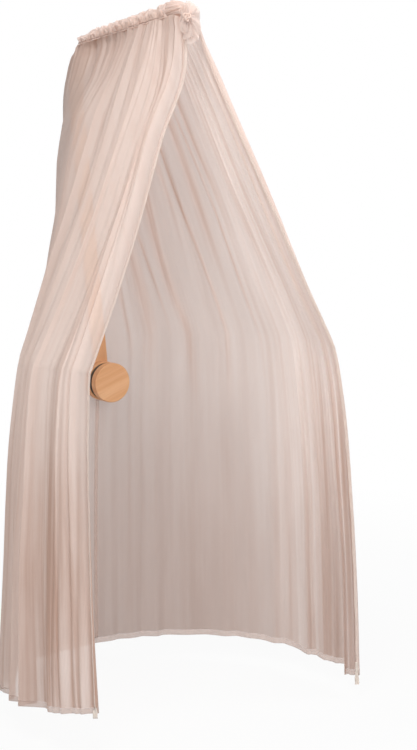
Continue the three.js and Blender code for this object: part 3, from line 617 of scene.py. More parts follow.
def calm_and_shaded_inside(side, share, level):
    """Where the cloth hangs as one smooth layer that is seen from inside and gets little light: there its
    colour is drawn toward a painted grey shade, more so low down, and its streaks are calmed.
    """
    start = 0.6 if side < 0 else 0.25
    inside = smooth(share, start, start + 0.2) * smooth(level, 0.02, 0.2) * (1 - bands(side, share, level))
    inside = inside * (1 + 0.3 * smooth(level, 1.0, 1.4))
    # Low on the right skirt the painted grey shade is drawn in as well.
    if side > 0:
        return maximum(inside, 0.65 * smooth(level, 1.1, 1.8))
    # Beside the left front edge the cloth lies single, in a strip about 16 mm wide
    single = hump(share * half_length(side, level), 15, 8)
    single = 0.9 * single * smooth(level, 0.04, 0.15) * (1 - smooth(level, 1.2, 1.8))
    return maximum(inside, single)


def edge_folds(side, share, level):
    """Height of the narrow folds that run beside the front edge, and the painted light and shade on their
    flanks.
    """
    place = share * half_length(side, level)
    window = smooth(place, 3, 14) * (1 - smooth(place, 60, 120)) * smooth(level, 0.02, 0.2)
    phase = ROUND * (place / EDGE_FOLD_PITCH + 0.5 * sin(2.3 * level + side) + 0.3 * sin(place / 31))
    return EDGE_FOLD_HEIGHT * window * sin(phase), window * cos(phase)


def settle(side, share, level):
    """How far the hanging cloth is drawn inwards, so that its outermost folds keep to the outline."""
    drawn = np.interp(level, *SETTLE[side]) * (1 - smooth(share, 0.6, 0.8))
    if side < 0:
        corner = smooth(share, 0.35, 0.5) * (1 - smooth(share, 0.8, 0.9))
        drawn = drawn + np.interp(level, *CORNER_IN) * corner
        drawn = drawn - np.interp(level, *CORNER_OUT) * smooth(share, 0.35, 0.6)
    return drawn


def pleats(side, share, level):
    """Height, sideways lean and tone of the pleats that fan out of the gathering seam; the tone is partly
    painted shade and highlight.
    """
    height, lean, closed = np.zeros_like(share), np.zeros_like(share), np.zeros_like(share)
    for count, seed, depths in PLEATS:
        wander = 1.9 * sin(6.3 * share + seed + side) + 1.1 * sin(14.7 * share - seed * 2)
        wander = wander + 0.8 * level * sin(9.2 * share + 3 * seed)
        phase = ROUND * count * share + wander
        patch = 0.55 + 0.45 * sin(17.0 * share + 2.4 * seed + 1.3 * level * sin(5 * share + seed))
        depth = np.interp(level, PLEAT_LEVELS, depths) * patch * rest_near_ends(side, share, level, 14.0)
        height += depth * sin(phase)
        lean -= 0.95 * depth * sin(phase) - 0.2 * depth * sin(2 * phase)
        # Turned under, the cloth lies double and looks deeper, partly as painted shade; its standing edge
        # gets a painted highlight where it would catch the light.
        under, edge = maximum(0, cos(phase)) ** 6, maximum(0, cos(phase + 2.3)) ** 8
        closed += depth / depths[0] * (0.5 * cos(phase) + 0.6 * under - 0.7 * edge)
    calm = calm_back(side, share, level)
    return height * calm, lean * calm, closed * calm


def wrinkles(side, share, level):
    """Slow unevenness of hanging cloth."""
    a = sin(7.1 * share + 4.3 * level + side) * sin(5.2 * level + 9.7 * share)
    b = sin(19.0 * share - 2.2 * level + 2 * side) * sin(8.6 * level + 1.1)
    return (2.4 * a + 1.3 * b) * np.clip(level * 2, 0, 1) * rest_near_ends(side, share, level, FOLD_REST)


def gathered_tone(side, share, level, phase, closed, beside):
    """How closely the cloth is gathered or lies in folds, from 0 to 1, with painted shade and light added
    in.
    """
    near_arm = smooth(share, 0.80, 0.93)
    # Each main fold is darker on the flank where it lies double and lighter on the other: partly the doubled
    # net, partly painted shade and light.
    turned = 0.5 * cos(phase) + 0.5 * maximum(0, cos(phase)) ** 5
    turned = turned * smooth(level, 0.0, 0.25) * calm_back(side, share, level) * (1 - near_arm)
    # Close gathers at the seam; low on the skirt the cloth is painted darker toward the hem, as shade from
    # above.
    crowd_and_shade = TOP_TONE[side] * (1 - smooth(level, 0, 0.25)) + LOW_PAINTED_SHADE[side] * smooth(level, 1.0, 1.9)
    # The back is painted darker as shade inside the canopy, and darker still low down.
    ground = GROUND_TONE + (BACK_PAINTED_SHADE + LOW_BACK_PAINTED_SHADE * smooth(level, 1.0, 1.4)) * smooth(share, 0.35, 0.6)
    # Narrow bands lie double; the edge folds add their painted light and shade.
    crowd_and_shade = crowd_and_shade + BAND_TONE * bands(side, share, level) + EDGE_FOLD_PAINTED_SHADING * beside
    # The right front edge hangs single: sheerer, and painted lighter there as if lit.
    if side > 0:
        front = (1 - smooth(share, 0.15, 0.4)) * (1 - smooth(level, 0.85, 1.3))
        ground = ground + FRONT_SHEER_AND_PAINTED_LIGHT * front
        turned, closed = turned * (1 - 0.5 * front), closed * (1 - 0.4 * front)
    else:
        # Low on the left skirt, near the front edge, the cloth is painted darker as shade.
        crowd_and_shade = crowd_and_shade + LOW_EDGE_PAINTED_SHADE * smooth(level, 1.0, 1.5) * (1 - smooth(share, 0.1, 0.3))
    crease = lerp(TOP_PLEAT_LAYERS_AND_SHADE, PLEAT_LAYERS_AND_SHADE, smooth(level, 0.1, 0.5))
    return np.clip(ground + crowd_and_shade + crease * closed + FOLD_LAYERS_AND_SHADE * turned, 0, 1)


def cloth(side, share, level, lift=0.0):
    """Places on one half of the cloth, their normals (which point inwards) and the tone there."""
    share, level = np.broadcast_arrays(np.asarray(share, float), np.asarray(level, float))
    at, step = (side, share, level), 0.004
    point = base_cloth(*at)
    across = base_cloth(side, share + step, level) - base_cloth(side, share - step, level)
    down = base_cloth(side, share, level + step) - base_cloth(side, share, maximum(0, level - step))
    normal = unit(np.cross(across, down)) * side
    phase, depth = main_phase(*at), main_folds(*at)
    height, lean, closed = pleats(*at)
    beside, edge_fold_shading = edge_folds(*at)
    # Where it bends over the ring the cloth is pushed up into small tucks
    tuck = TUCK * hump(level, TUCK_LEVEL, TUCK_SPREAD) * (0.6 + 0.4 * sin(61 * share + 3 * sin(23 * share)))
    height = height + beside + BAND_HEIGHT * bands(*at) + tuck * (1 - smooth(share, 0.6, 0.8))
    near_arm = smooth(share, 0.80, 0.93)
    height = height * lerp(1.0, 0.55, near_arm)
    # A main fold leans over sideways, so that one of its flanks is hidden
    leaning = 0.85 * sin(phase) - 0.2 * sin(2 * phase)
    overhang = -smooth(level, 0.03, 0.3) * leaning * depth * (1 - near_arm)
    point = point + unit(across) * (overhang + lean * (1 - 0.5 * near_arm))[..., None]
    lifted = depth * sin(phase) + height + wrinkles(*at) * (1 - near_arm)
    lifted = lifted + settle(*at) + lift
    if side < 0:
        bow = EDGE_BOW * hump(level, EDGE_BOW_LEVEL, EDGE_BOW_SPREAD)
        point[..., 0] += bow * smooth(level, 0, 0.04) * (1 - smooth(share, 0, 0.3))
    point = point + normal * lifted[..., None]
    return point, normal, gathered_tone(*at, phase, closed, edge_fold_shading)


def weave_of(side, share, level):
    """Where a place lies on the flat cloth, in millimetres."""
    return pair(side * (1 - share) * WEAVE_HALF_WIDTH, -level * HANG)


def make_canopy():
    """One sheet from the left front edge round the back to the right front edge."""
    share, level = np.meshgrid(linspace(0, 1, COLUMNS), ROWS)
    halves = []
    for side in (-1, 1):
        point, _, closed = cloth(side, share, level)
        grids = point, weave_of(side, share, level), closed, calm_and_shaded_inside(side, share, level)
        # The right half is turned round, and the column that both halves have is left out of it
        halves.append([grid[:, -2::-1] if side > 0 else grid for grid in grids])
    points, weave, gather, calm = (concatenate(grids, 1) for grids in zip(*halves))
    mesh = mesh_from("canopy_cloth", points.reshape(-1, 3), grid_faces(*points.shape[:2]), weave,
                     gather=gather, calm=calm)
    piece = link("canopy_cloth", mesh, TULLE, "canopy")
    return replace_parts(piece, "left_panel", "right_panel")


def make_binding(side, word):
    """The front edge turned over and stitched, a rounded narrow strip."""
    across = linspace(0, 1, 7)
    shares = -(EDGE_GAP + BINDING_WIDTH * (1 - across)) / half_length(side, ROWS)[:, None]
    levels = np.repeat(ROWS[:, None], 7, 1)
    curl = 0.5 * sin(linspace(0, math.pi, 7)) + 0.5 * sin(40 * levels)
    point, normal, _ = cloth(side, shares, levels, curl)
    return sew(f"{word}_edge_binding", point, normal, 1.2, weave_of(side, shares, levels), TAPE,
               f"{word}_front_binding")


def make_hem(side, word):
    """A turned-up edge that follows every fold."""
    drop = linspace(EDGE_GAP, EDGE_GAP + HEM_BAND, 5)
    shares, levels = np.meshgrid(linspace(0, 1, COLUMNS), 2 + drop / HANG)
    point, normal, _ = cloth(side, shares, levels)
    return sew(f"{word}_hem", point, normal, 1.0, weave_of(side, shares, levels), HEM, f"{word}_hem_band")


def make_ribbon(side, word):
    """A short tie on the inner side of the corner, which turns to face outwards below the hem."""
    t = linspace(0, 1, 26)
    drop = -TIE_LAP + (TIE_LAP + TIE_HANG) * np.minimum(1, t * 1.25)
    across = linspace(0, 1, 6)
    width = (BINDING_WIDTH - TIE_WIDTH) / 2 + EDGE_GAP + TIE_WIDTH * (1 - across)
    shares = -width[None, :] / half_length(side, np.array(2.0)) * np.ones((26, 1))
    levels = 2 + drop[:, None] / HANG * np.ones((1, 6))
    lift = (2.2 + 1.2 * sin(t * 7) * smooth(t, 0.4, 0.8))[:, None]
    point, normal, _ = cloth(side, shares, levels, lift)
    hanging = smooth(t, 0.35, 0.6)[:, None, None]
    wide, faces_to = np.array([0.85, -0.53, 0]), np.array([0.53, 0.85, 0.0])
    facing = np.sign(((point[:, -1] - point[:, 0]) @ wide).mean())
    outwards = facing * wide * linspace(-0.75, 0.75, 6)[:, None] * TIE_WIDTH
    point = lerp(point, point.mean(1, keepdims=True) + outwards, hanging)
    normal = unit(lerp(normal, side * facing * faces_to, hanging))
    return sew(f"{word}_ribbon", point, normal, 0.7, weave_of(side, shares, levels), RIBBON,
               f"{word}_corner_tie")


def make_seam():
    """Tape over the seam behind the arm, on its inner side."""
    levels = ROWS[ROWS > 0.04]
    offsets = (linspace(0, 1, 9) - 0.5) * SEAM_TAPE
    columns = []
    for offset in offsets:
        side = -1 if offset < 0 else 1
        columns.append(cloth(side, 1 - abs(offset) / half_length(side, levels), levels, 1.7)[:2])
    point, normal = (np.stack(column, 1) for column in zip(*columns))
    weave = pair(offsets[None, :], -levels[:, None] * HANG)
    return sew("seam_tape", point, normal, 0.7, weave, SEAM, "back_seam_tape")


def make_edges():
    made = []
    for side, word in ((-1, "left"), (1, "right")):
        made += [make_binding(side, word), make_hem(side, word), make_ribbon(side, word)]
    return made + [make_seam()]


# ---- casing, cord and rosette
def casing_swell(k, angle, half):
    """Puffs and creases of the casing, stitch by stitch (k), and how closely the net lies in folds there,
    with painted shade in the grooves and creases.
    """
    up, side = sin(angle), np.sign(cos(angle))
    # Creases fan up from the seam, with one puff between two of them
    slant = 1.1 * sin(0.55 * k + 1.2 * side) * up - 0.17 * half * cos(angle)
    turn = math.pi * (k + slant) / PUFF_STEPS + 0.8 * sin(0.37 * k) + 0.45 * sin(0.83 * k + side)
    puff = (np.abs(sin(turn)) ** 0.7 - 0.62) * (1 + 0.18 * sin(1.7 * k / PUFF_STEPS + 1))
    small = np.abs(sin(2.4 * turn + 1.3 * sin(0.9 * k + side))) ** 0.7 - 0.6
    fine = sin(ROUND * (k + slant) / FINE_STEPS + 1.9 * sin(k * 0.9) + side)
    crease = sin(ROUND * (k + 1.3 * slant) / CREASE_STEPS + 1.4 * sin(0.7 * k + side))
    crease = maximum(0, crease) ** 4
    swell = PUFF_SWELL * puff + SMALL_SWELL * small + CREASE_SWELL * crease + FINE_SWELL * fine
    # Between the puffs the net lies in folds and is closer; the grooves and creases are also painted darker
    # as shade.
    closed = np.clip(-0.34 - 0.7 * puff - 0.2 * small + 0.8 * crease, 0, 1)
    return swell * lerp(0.3, 1.0, smooth(up, 0, 0.4)), closed


def make_casing():
    """Gathered channel over the run: puffs between the stitches, creases that rise from the seam."""
    front, rear, corner = CASING_FRONT, CASING_OVERRUN, CASING_CORNER
    steps = round((rear - front) / RUFFLE_STEP)
    along = linspace(-CASING_MOUTH / (rear - front), 1, CASING_ROWS)
    turned = np.arange(1, CASING_ROUND_ROWS + 1) / CASING_ROUND_ROWS
    # A straight length, then the rounded rear end
    y = concatenate([lerp(front, rear - corner, along), rear - corner + corner * sin(QUARTER * turned)])
    half = CASING_HALF - np.append(np.zeros(CASING_ROWS), corner * (1 - cos(QUARTER * turned)))
    k = np.append(along * steps, steps + 3 * turned)
    share = np.append(along, np.ones(CASING_ROUND_ROWS))
    drawn = smooth(y, front - CASING_MOUTH, front + 2)
    half = half * lerp(0.82, 1, drawn)
    crest = RUFFLE * np.abs(sin(math.pi * k / 4 + sin(k))) ** 0.75
    thick = (CASING_WALL - 1.5 * share + crest * lerp(1, 0.15, share)) * lerp(0.25, 1, drawn)
    thick = thick + CASING_BULB * hump(y, rear - 7, 13)
    low = SKIRT + CASING_LIP
    over = np.sqrt((BEND_RADIUS + ARM_HALF + SEAT_GAP + thick) ** 2 - maximum(0, y) ** 2) - BEND_RADIUS
    over = lerp(low, over, np.append(np.ones(CASING_ROWS), cos(0.94 * QUARTER * turned) ** 0.8))

    yy, angle = np.meshgrid(y, linspace(0, math.pi, CASING_COLUMNS), indexing="ij")
    up = sin(angle)
    swell, folded_and_shaded = casing_swell(k[:, None], angle, half[:, None])
    swell = swell * (drawn * (1 - smooth(y, rear - 8, rear)))[:, None]
    x = (half[:, None] * lerp(0.88, 1.0, smooth(up, 0, 0.45)) + swell) * cos(angle)
    z = lerp(low, over[:, None], maximum(0, up) ** 0.8) + 0.8 * swell * up
    on_arm = np.sqrt((BEND_RADIUS + ARM_HALF + 1.2) ** 2 - maximum(0, yy) ** 2) - BEND_RADIUS
    z = np.where(np.abs(x) < ARM_WIDTH / 2 + 2, maximum(z, on_arm), z)
    body = run_place(x, yy, z)
    # The lower edges run in to the gathering seam, where the hanging cloth begins
    low_y = y + (CASING_END - rear) * smooth(y, rear - corner - 6, rear - corner + 4)
    seam = half - FOLD_TOP * 0.4 + 0.5 * sin(ROUND * k / STITCH_STEPS)
    right, left = (run_place(sign * seam, low_y, CASING_LOW)[:, None] for sign in (1, -1))
    points = concatenate([right, (right + body[:, :1]) / 2, body, (left + body[:, -1:]) / 2, left], 1)
    # The rear end is drawn down to the top of the cloth behind it
    points = concatenate([points, run_place(points[-1:, :, 0], CASING_END, CASING_LOW)])

    rows, columns = points.shape[:2]
    closed = np.ones((rows, columns))
    # The lower edges at the seam are painted lighter, against the shadow under the casing.
    closed[:, [0, 1, -2, -1]] = 0.35
    closed[:-1, 2:-2] = folded_and_shaded
    # The rear end is painted lighter, against the shade where it faces away from the lamps.
    closed *= (1 - 0.7 * smooth(np.append(y, rear), rear - 30, rear - 5))[:, None]
    girth = linspace(-CASING_GIRTH / 2, CASING_GIRTH / 2, columns)
    weave = pair(np.append(y, TOP_REAR)[:, None] * CASING_GATHERING, girth)
    mesh = mesh_from("casing_cloth", points.reshape(-1, 3), grid_faces(rows, columns), weave, gather=closed)
    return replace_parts(link("casing_cloth", mesh, GATHERED_PAINTED_LIGHTER, "canopy"), "ruffled_casing")


def tube(path, radius, sides=10, closed=False, twist=0.0):
    """Points, faces and weave of a round tube along a path."""
    count = len(path)
    along = unit(np.roll(path, -1, 0) - np.roll(path, 1, 0) if closed else np.gradient(path, axis=0))
    side = np.cross(along[0], [0, 0, 1.0])
    if np.linalg.norm(side) < 0.1:
        side = np.cross(along[0], [1.0, 0, 0])
    rings = []
    for k, ahead in enumerate(along):
        side = unit(side - ahead * (side @ ahead))
        a = linspace(0, ROUND, sides, endpoint=False)[:, None] + twist * k
        rings.append(path[k] + radius * (cos(a) * side + sin(a) * np.cross(ahead, side)))
    faces = grid_faces(count, sides, True, True) if closed else capped_faces(count, sides)
    length = np.append(0, np.cumsum(np.linalg.norm(np.diff(path, axis=0), axis=1)))
    weave = np.stack(np.meshgrid(np.arange(sides) * ROUND * 1.5 / sides, length), -1)
    return concatenate(rings), faces, weave


def lay_cord(name, stands_for, *form, **more):
    points, faces, weave = tube(*form, **more)
    mesh = solid(mesh_from(name, points, faces, weave))
    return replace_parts(link(name, mesh, CORD, "canopy"), stands_for)


def make_cord():
    """Drawstring in the casing's seam, from the tip round the rear end and back."""
    half, radius = CASING_HALF - CORD_SINK, CASING_CORNER - CORD_SINK
    bend = CASING_OVERRUN - CASING_CORNER
    places = [(-half, y) for y in linspace(CASING_FRONT, bend, 160)[:-1]]
    for end, first in ((-1, 0), (1, QUARTER)):
        for angle in linspace(0, QUARTER, 12) + first:
            x = end * (CASING_HALF - CASING_CORNER) - radius * math.cos(angle)
            places.append((x, bend + radius * math.sin(angle)))
    places += [(half, y) for y in linspace(bend, CASING_FRONT, 160)[1:]]
    path = run_place(*np.array(places).T, SKIRT + CORD_SINK)
    return lay_cord("drawstring", "gathering_cord", path, CORD_RADIUS, twist=0.5)


def make_fan():
    """Three soft flounces, one behind the other, gathered at one point and wavy at the rim."""
    points, faces, weaves, closed = [], [], [], []
    rings, spokes = 34, 300
    deep = ROSETTE_DEPTH / 2 + FRILL
    middle = ROSETTE_FRONT - deep
    r = linspace(0.06, 1, rings)[:, None]
    a = linspace(0, ROUND, spokes, endpoint=False)[None, :]
    for layer, (size, shift, count, seed) in enumerate(FLOUNCES):
        uneven = 1 + 0.06 * sin(3 * a + seed) + 0.05 * sin(5 * a - 2 * seed) + 0.03 * sin(11 * a + seed)
        wave = sin(count * a + 1.1 * sin(2 * a + seed) + 0.9 * r * sin(3 * a))
        fine = sin(3 * count * a + 2 * sin(4 * a + seed)) * np.exp(-2.2 * r)
        depth = 5.2 * r ** 1.4 * wave * (1 - 0.3 * sin(4 * a + seed)) + 2.0 * np.sqrt(r) * fine
        # The rim is uneven, but not at the top
        rim = 1 + (uneven * (1 + 0.05 * wave) - 1) * (1 - 0.9 * maximum(0, sin(a)) ** 6)
        wide = (ROSETTE_WIDTH / 2 + 5 - 3 * cos(a)) * size * np.sign(cos(a)) * np.abs(cos(a)) ** 0.8
        high = (ROSETTE_HEIGHT / 2 + 1 + 4 * sin(a)) * size * np.sign(sin(a)) * np.abs(sin(a)) ** 0.85
        x = FAN_CENTRE[0] * (1 - r) + wide * r * rim
        z = FAN_CENTRE[1] * (1 - r) + high * r * rim
        y = np.clip(middle + shift + 4.5 * r ** 2 * layer + depth, middle - deep, middle + deep)
        points.append(run_place(x + 3, y, z - ROSETTE_DROP + 7))
        faces += grid_faces(rings, spokes, wrap_columns=True, start=layer * rings * spokes)
        weaves.append(pair(a * 60, r * 70))
        pleat = maximum(0, cos(3 * count * a + 2 * sin(4 * a + seed))) ** 3 * (1 - 0.7 * r)
        closed.append(np.clip(0.75 - 1.5 * r + 0.6 * pleat + 0.2 * cos(count * a + 1), 0, 1))
    points = np.reshape(points, (-1, 3))
    mesh = mesh_from("rosette_flounces", points, faces, concatenate(weaves), gather=concatenate(closed))
    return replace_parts(link("rosette_flounces", mesh, RUFFLE_NET_PAINTED_LIGHTER, "canopy"), "rosette_fan")


def make_crown():
    """Gathered puff round the arm's tip, drawn in at both ends, with an upright frill at its back."""
    rows, columns = 60, 360
    v = linspace(0.02, 0.98, rows)[:, None] * math.pi
    a = linspace(0, ROUND, columns, endpoint=False)[None, :]
    girth = sin(v) ** 0.16
    frill = 0.38 * FRILL * girth * sin(FRILLS * a + 0.9 * sin(2 * a) + 0.7 * cos(v))
    frill = frill + 0.5 * girth * sin(29 * a + 2.1 * sin(3 * a) + 2.0 * cos(v))
    upper, lower = 1 - 0.45 * cos(v), 1.35 + 0.5 * maximum(0, cos(v))
    x = girth * cos(a) * (PUFF_WIDTH / 2 + frill)
    z = girth * sin(a) * (PUFF_HEIGHT / 2 + 2 + frill) * np.where(sin(a) > 0, upper, lower)
    z = z - 7 * cos(v) * smooth(sin(a), 0, 1)
    y = -cos(v) * (PUFF_LENGTH / 2 + 3) + 1.5 * sin(5 * a + 1) - 1
    centre = CASING_FRONT - SEAT_GAP - PUFF_LENGTH / 2
    points = run_place(x, y + centre, z + PUFF_RISE - 2).reshape(-1, 3)
    closed = np.clip(0.36 - 0.4 * girth + 0.1 * maximum(0, cos(FRILLS * a + 1)) ** 3, 0, 1)
    faces = grid_faces(rows, columns, wrap_columns=True)
    mesh = mesh_from("rosette_puff", points, faces, pair(a * 40, v * 30), gather=closed)
    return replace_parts(link("rosette_puff", mesh, GATHERED_PAINTED_LIGHTER, "canopy"), "rosette_crown")


def make_knot():
    """Drawstring tied off in a small knot with loops."""
    t = linspace(0, ROUND, 140, endpoint=False)
    x = KNOT_SIZE * (sin(t) + 2 * sin(2 * t)) + FAN_CENTRE[0] - 4
    z = KNOT_SIZE * (cos(t) - 2 * cos(2 * t)) - ROSETTE_DROP + FAN_CENTRE[1] + 5
    y = -1.7 * sin(3 * t) + ROSETTE_FRONT - ROSETTE_DEPTH - FRILL - 2.5 - SEAT_GAP
    return lay_cord("drawstring_knot", "tie_knot", run_place(x, y, z), KNOT_RADIUS, 12, closed=True)


# ---- wood
def cutter(points, faces):
    piece = bpy.data.objects.new("cutter", solid(mesh_from("cutter", points, faces)))
    bpy.context.scene.collection.objects.link(piece)
    return piece


def rod_cutter(diameter, start, end, sides=64):
    """A round cutter between two places."""
    return cutter(*tube(np.stack([start, end]), diameter / 2, sides)[:2])


def hole_cutter(diameter, start, end, up=0.0, sides=64):
    """A round cutter with some play, along the bolt's axis or above it."""
    places = [(0.0, y, up - SEAT_HEIGHT) for y in (start, end)]
    return rod_cutter(diameter + HOLE_PLAY, *places, sides)


def cut(piece, cutters):
    """Takes the cutters out of the piece, for good, and keeps its edges sharp."""
    for taken in cutters:
        change = piece.modifiers.new("cut", "BOOLEAN")
        change.operation, change.solver, change.object = "DIFFERENCE", "EXACT", taken
    normals = piece.modifiers.new("normals", "WEIGHTED_NORMAL")
    normals.keep_sharp = True
    bpy.context.view_layer.update()
    seen = bpy.context.evaluated_depsgraph_get()
    made = bpy.data.meshes.new_from_object(piece.evaluated_get(seen))
    piece.modifiers.clear()
    old, piece.data = piece.data, made
    bpy.data.meshes.remove(old)
    for taken in cutters:
        mesh = taken.data
        bpy.data.objects.remove(taken)
        bpy.data.meshes.remove(mesh)
    made.polygons.foreach_set("use_smooth", np.ones(len(made.polygons), bool))
    made.set_sharp_from_angle(angle=SHARP_ANGLE)
    return piece


def rounded_outline(width, height, radius, steps=6):
    places = []
    for corner in range(4):
        right = 1 if corner in (0, 3) else -1
        top = 1 if corner < 2 else -1
        for k in range(steps):
            angle = (corner + k / (steps - 1)) * QUARTER
            places.append((right * (width / 2 - radius) + radius * math.cos(angle),
                           top * (height / 2 - radius) + radius * math.sin(angle)))
    return np.array(places)


def make_arm():
    """The bent strip: rounded at both ends, with the clamp's bores and two blind holes near the tip."""
    bend, end, wide = POST_LENGTH + BEND, POST_LENGTH + BEND + RUN_LENGTH, ARM_WIDTH / 2
    stations = [(d, wide) for d in linspace(0, POST_LENGTH, 24)[1:-1]]
    stations += [(POST_LENGTH + BEND * k / 84, wide) for k in range(85)]
    stations += [(d, wide) for d in linspace(bend, end - ARM_END_RADIUS, 14)[1:-1]]
    for a in linspace(0, QUARTER, 9):
        inset, half = ARM_END_RADIUS * (1 - math.sin(a)), wide - ARM_END_RADIUS * (1 - math.cos(a))
        stations += [(inset - FOOT_LENGTH, half), (end - inset, half)]
    outline = rounded_outline(ARM_WIDTH, ARM_THICKNESS, ARM_EDGE_RADIUS)
    rings, grain = [], []
    for distance, half in sorted(stations):
        point, normal, _ = arm_frame(distance)
        ring = point + outline[:, 1:2] * normal
        ring[:, 0] = outline[:, 0] * half / wide
        rings.append(ring)
        grain.append(np.stack([ring[:, 0], outline[:, 1], np.full(len(outline), distance)], -1))
    faces = capped_faces(len(rings), len(outline))
    mesh = solid(mesh_from("bent_arm", concatenate(rings), faces, grain=concatenate(grain)))
    piece = link("bent_arm", mesh, ARM_WOOD, "canopy")
    washer_face = ARM_OUTER - HEAD_COVER - HEAD_HEIGHT - WASHER_THICKNESS - SEAT_GAP
    cutters = [hole_cutter(WASHER, washer_face - SEAT_GAP, ARM_OUTER + 6),
               hole_cutter(BOLT, ARM_INNER - 6, ARM_OUTER)]
    for up in (SCREW_SPACING, -SCREW_SPACING):
        head = ARM_OUTER + up * math.tan(LEAN) - SCREW_COVER
        cutters += [hole_cutter(SCREW, ARM_INNER - 12, head, up, 32),
                    hole_cutter(SCREW_HEAD, head - SCREW_HEAD_HEIGHT, head + 8, up)]
    for k in range(2):
        point, normal, _ = arm_frame(end - TIP_HOLE_SETBACK - k * TIP_HOLE_PITCH)
        bottom = point + normal * (TIP_HOLE_DEPTH - ARM_HALF)
        cutters.append(rod_cutter(TIP_HOLE, point - normal * (ARM_HALF + 6), bottom))
    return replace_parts(cut(piece, cutters), "arm")


def disc_rim(low, high):
    """The rounded rim of a disc between two faces, as (radius, y)."""
    arcs = (low + DISC_EDGE, -QUARTER, 0), (high - DISC_EDGE, 0, QUARTER)
    return [(DISC / 2 - DISC_EDGE + DISC_EDGE * math.cos(angle), middle + DISC_EDGE * math.sin(angle))
            for middle, start, end in arcs for angle in linspace(start, end, 7)]


def lathe(name, profile, degrees, body, sides=144):
    """A wooden disc: a profile of (radius, y) turned round the bolt's axis, with its grain at an angle.

    The profile's ends are on the axis, or it closes on itself.
    """
    on_axis = profile[0][0] == 0
    rings = profile[1:-1] if on_axis else profile
    a = linspace(0, ROUND, sides, endpoint=False)
    points = concatenate([np.stack([r * cos(a), np.full(sides, y), r * sin(a)], -1) for r, y in rings])
    points[:, 2] -= SEAT_HEIGHT
    faces = capped_faces(len(rings), sides) if on_axis else grid_faces(len(rings), sides, True, True)
    c, s = math.cos(math.radians(degrees)), math.sin(math.radians(degrees))
    x, y, z = points.T
    grain = np.stack([-s * x + c * z + 400, y + 60, c * x + s * z], -1)
    return link(name, solid(mesh_from(name, points, faces, grain=grain)), DISC_WOOD, body)


def make_jaw():
    """The fixed jaw, with the arm let into its back."""
    back, bore, play = PAD + JAW, (BOLT + HOLE_PLAY) / 2, HOLE_PLAY / 2
    jaw = lathe("jaw_disc", [(bore, PAD), *disc_rim(PAD, back), (bore, back)], 72, "canopy")
    corners = [ARM_BASE + np.array([x, 0, 0]) + y * OUT + z * UP
               for x in (-ARM_WIDTH / 2 - play, ARM_WIDTH / 2 + play)
               for y in (-ARM_HALF - play, ARM_HALF + DISC - play)
               for z in (-FOOT_LENGTH - play, DISC)]
    groove_faces = [[0, 1, 3, 2], [4, 6, 7, 5], [0, 4, 5, 1], [2, 3, 7, 6], [0, 2, 6, 4], [1, 5, 7, 3]]
    cutters = [cutter(corners, groove_faces)]
    for up in (SCREW_SPACING, -SCREW_SPACING):
        cutters.append(hole_cutter(SCREW, PAD + SCREW_FLOOR, back + 3, up, 32))
    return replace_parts(cut(jaw, cutters), "fixed_jaw")


def make_knob():
    """The clamp's knob, with its bore, the insert's seat and the slip washer's."""
    face = -BOARD - PAD
    rear = face - KNOB
    slip_face = face - SLIP_THICKNESS - SEAT_GAP
    insert_back = slip_face - INSERT_LENGTH - SEAT_GAP
    bore, slip, insert = BOLT / 2 + BOLT_PLAY, SLIP / 2 + SEAT_GAP, INSERT / 2 + SEAT_GAP
    profile = [(0, rear), *disc_rim(rear, face), (slip, face), (slip, slip_face), (insert, slip_face),
               (insert, insert_back), (bore, insert_back), (bore, rear + KNOB_WALL), (0, rear + KNOB_WALL)]
    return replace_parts(cut(lathe("knob_disc", profile, 20, "knob"), []), "clamp_knob")


# ---- assembly
canopy = make_canopy()
edges = make_edges()
casing = make_casing()
cord = make_cord()
fan, crown, knot = make_fan(), make_crown(), make_knot()
make_arm()
make_jaw()
make_knob()

for name, material in {"jaw_pad": RUBBER, "knob_pad": RUBBER, "slip_washer": NYLON, "knob_insert": BRASS,
                       "bolt_washer": STEEL, "clamp_bolt": STEEL, "arm_screw_upper": STEEL,
                       "arm_screw_lower": STEEL}.items():
    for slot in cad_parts[name].material_slots:
        slot.material = material


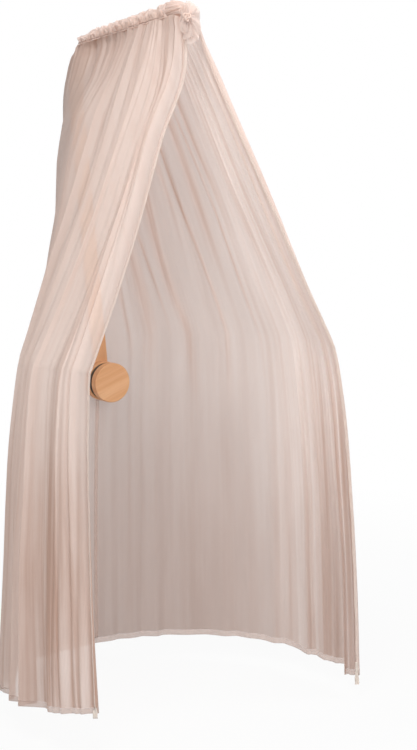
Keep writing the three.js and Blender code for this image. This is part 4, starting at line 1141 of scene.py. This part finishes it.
# ---- stage and light
def make_stage():
    """A pale floor that fades to white, and white all round that lights the canopy softly."""
    mesh = bpy.data.meshes.new("floor")
    size, level = 14.0, -0.80
    corners = [(-size, -size, level), (size, -size, level), (size, size, level), (-size, size, level)]
    mesh.from_pydata(corners, [], [(0, 1, 2, 3)])
    floor = bpy.data.objects.new("floor", mesh)
    bpy.context.scene.collection.objects.link(floor)
    n = Nodes(bpy.data.materials.new("floor"))
    flat = n.mapping(n.place(), (1.0, 1.0, 0.0))
    far = n.add("ShaderNodeVectorMath", {0: flat}, operation="LENGTH").outputs["Value"]
    camera_ray = n.add("ShaderNodeLightPath").outputs["Is Camera Ray"]
    white = n.out("ShaderNodeBsdfDiffuse", {"Color": (0.62, 0.62, 0.62, 1)})
    bright = n.out("ShaderNodeEmission", {"Color": (1, 1, 1, 1), "Strength": 1.0})
    seen = n.math("MULTIPLY", camera_ray, n.span(far, 0.8, 2.6, 0.93, 1.0))
    mesh.materials.append(n.done(n.blend(seen, white, bright)))

    world = bpy.data.worlds.new("studio")
    bpy.context.scene.world = world
    n = Nodes(world)
    rays = n.add("ShaderNodeLightPath").outputs
    seen = n.math("MAXIMUM", rays["Is Camera Ray"], rays["Is Glossy Ray"])
    seen = n.math("MAXIMUM", seen, rays["Is Transmission Ray"])
    lit = n.out("ShaderNodeBackground", {"Color": (0.97, 0.985, 1.0, 1), "Strength": 0.32})
    white = n.out("ShaderNodeBackground", {"Color": (1, 1, 1, 1), "Strength": 1.0})
    n.done(n.blend(seen, lit, white), "ShaderNodeOutputWorld")


def lamp(name, place, aim, size, power, colour=(1, 1, 1)):
    data = bpy.data.lights.new(name, "AREA")
    data.shape = "DISK"
    data.size, data.energy, data.color = size, power, colour
    obj = bpy.data.objects.new(name, data)
    bpy.context.scene.collection.objects.link(obj)
    place, aim = Vector(place), Vector(aim)
    obj.matrix_world = (aim - place).to_track_quat("-Z", "Y").to_matrix().to_4x4()
    obj.matrix_world.translation = place


make_stage()
lamp("key", (-1.7, -2.1, 2.9), (-0.1, -0.35, 0.35), 1.6, 82, (1.0, 0.985, 0.96))
lamp("fill", (-0.7, -4.6, 1.3), (0, -0.3, 0.2), 2.2, 52)
lamp("rim", (2.3, -1.7, 2.3), (0.15, -0.35, 0.4), 1.6, 62)
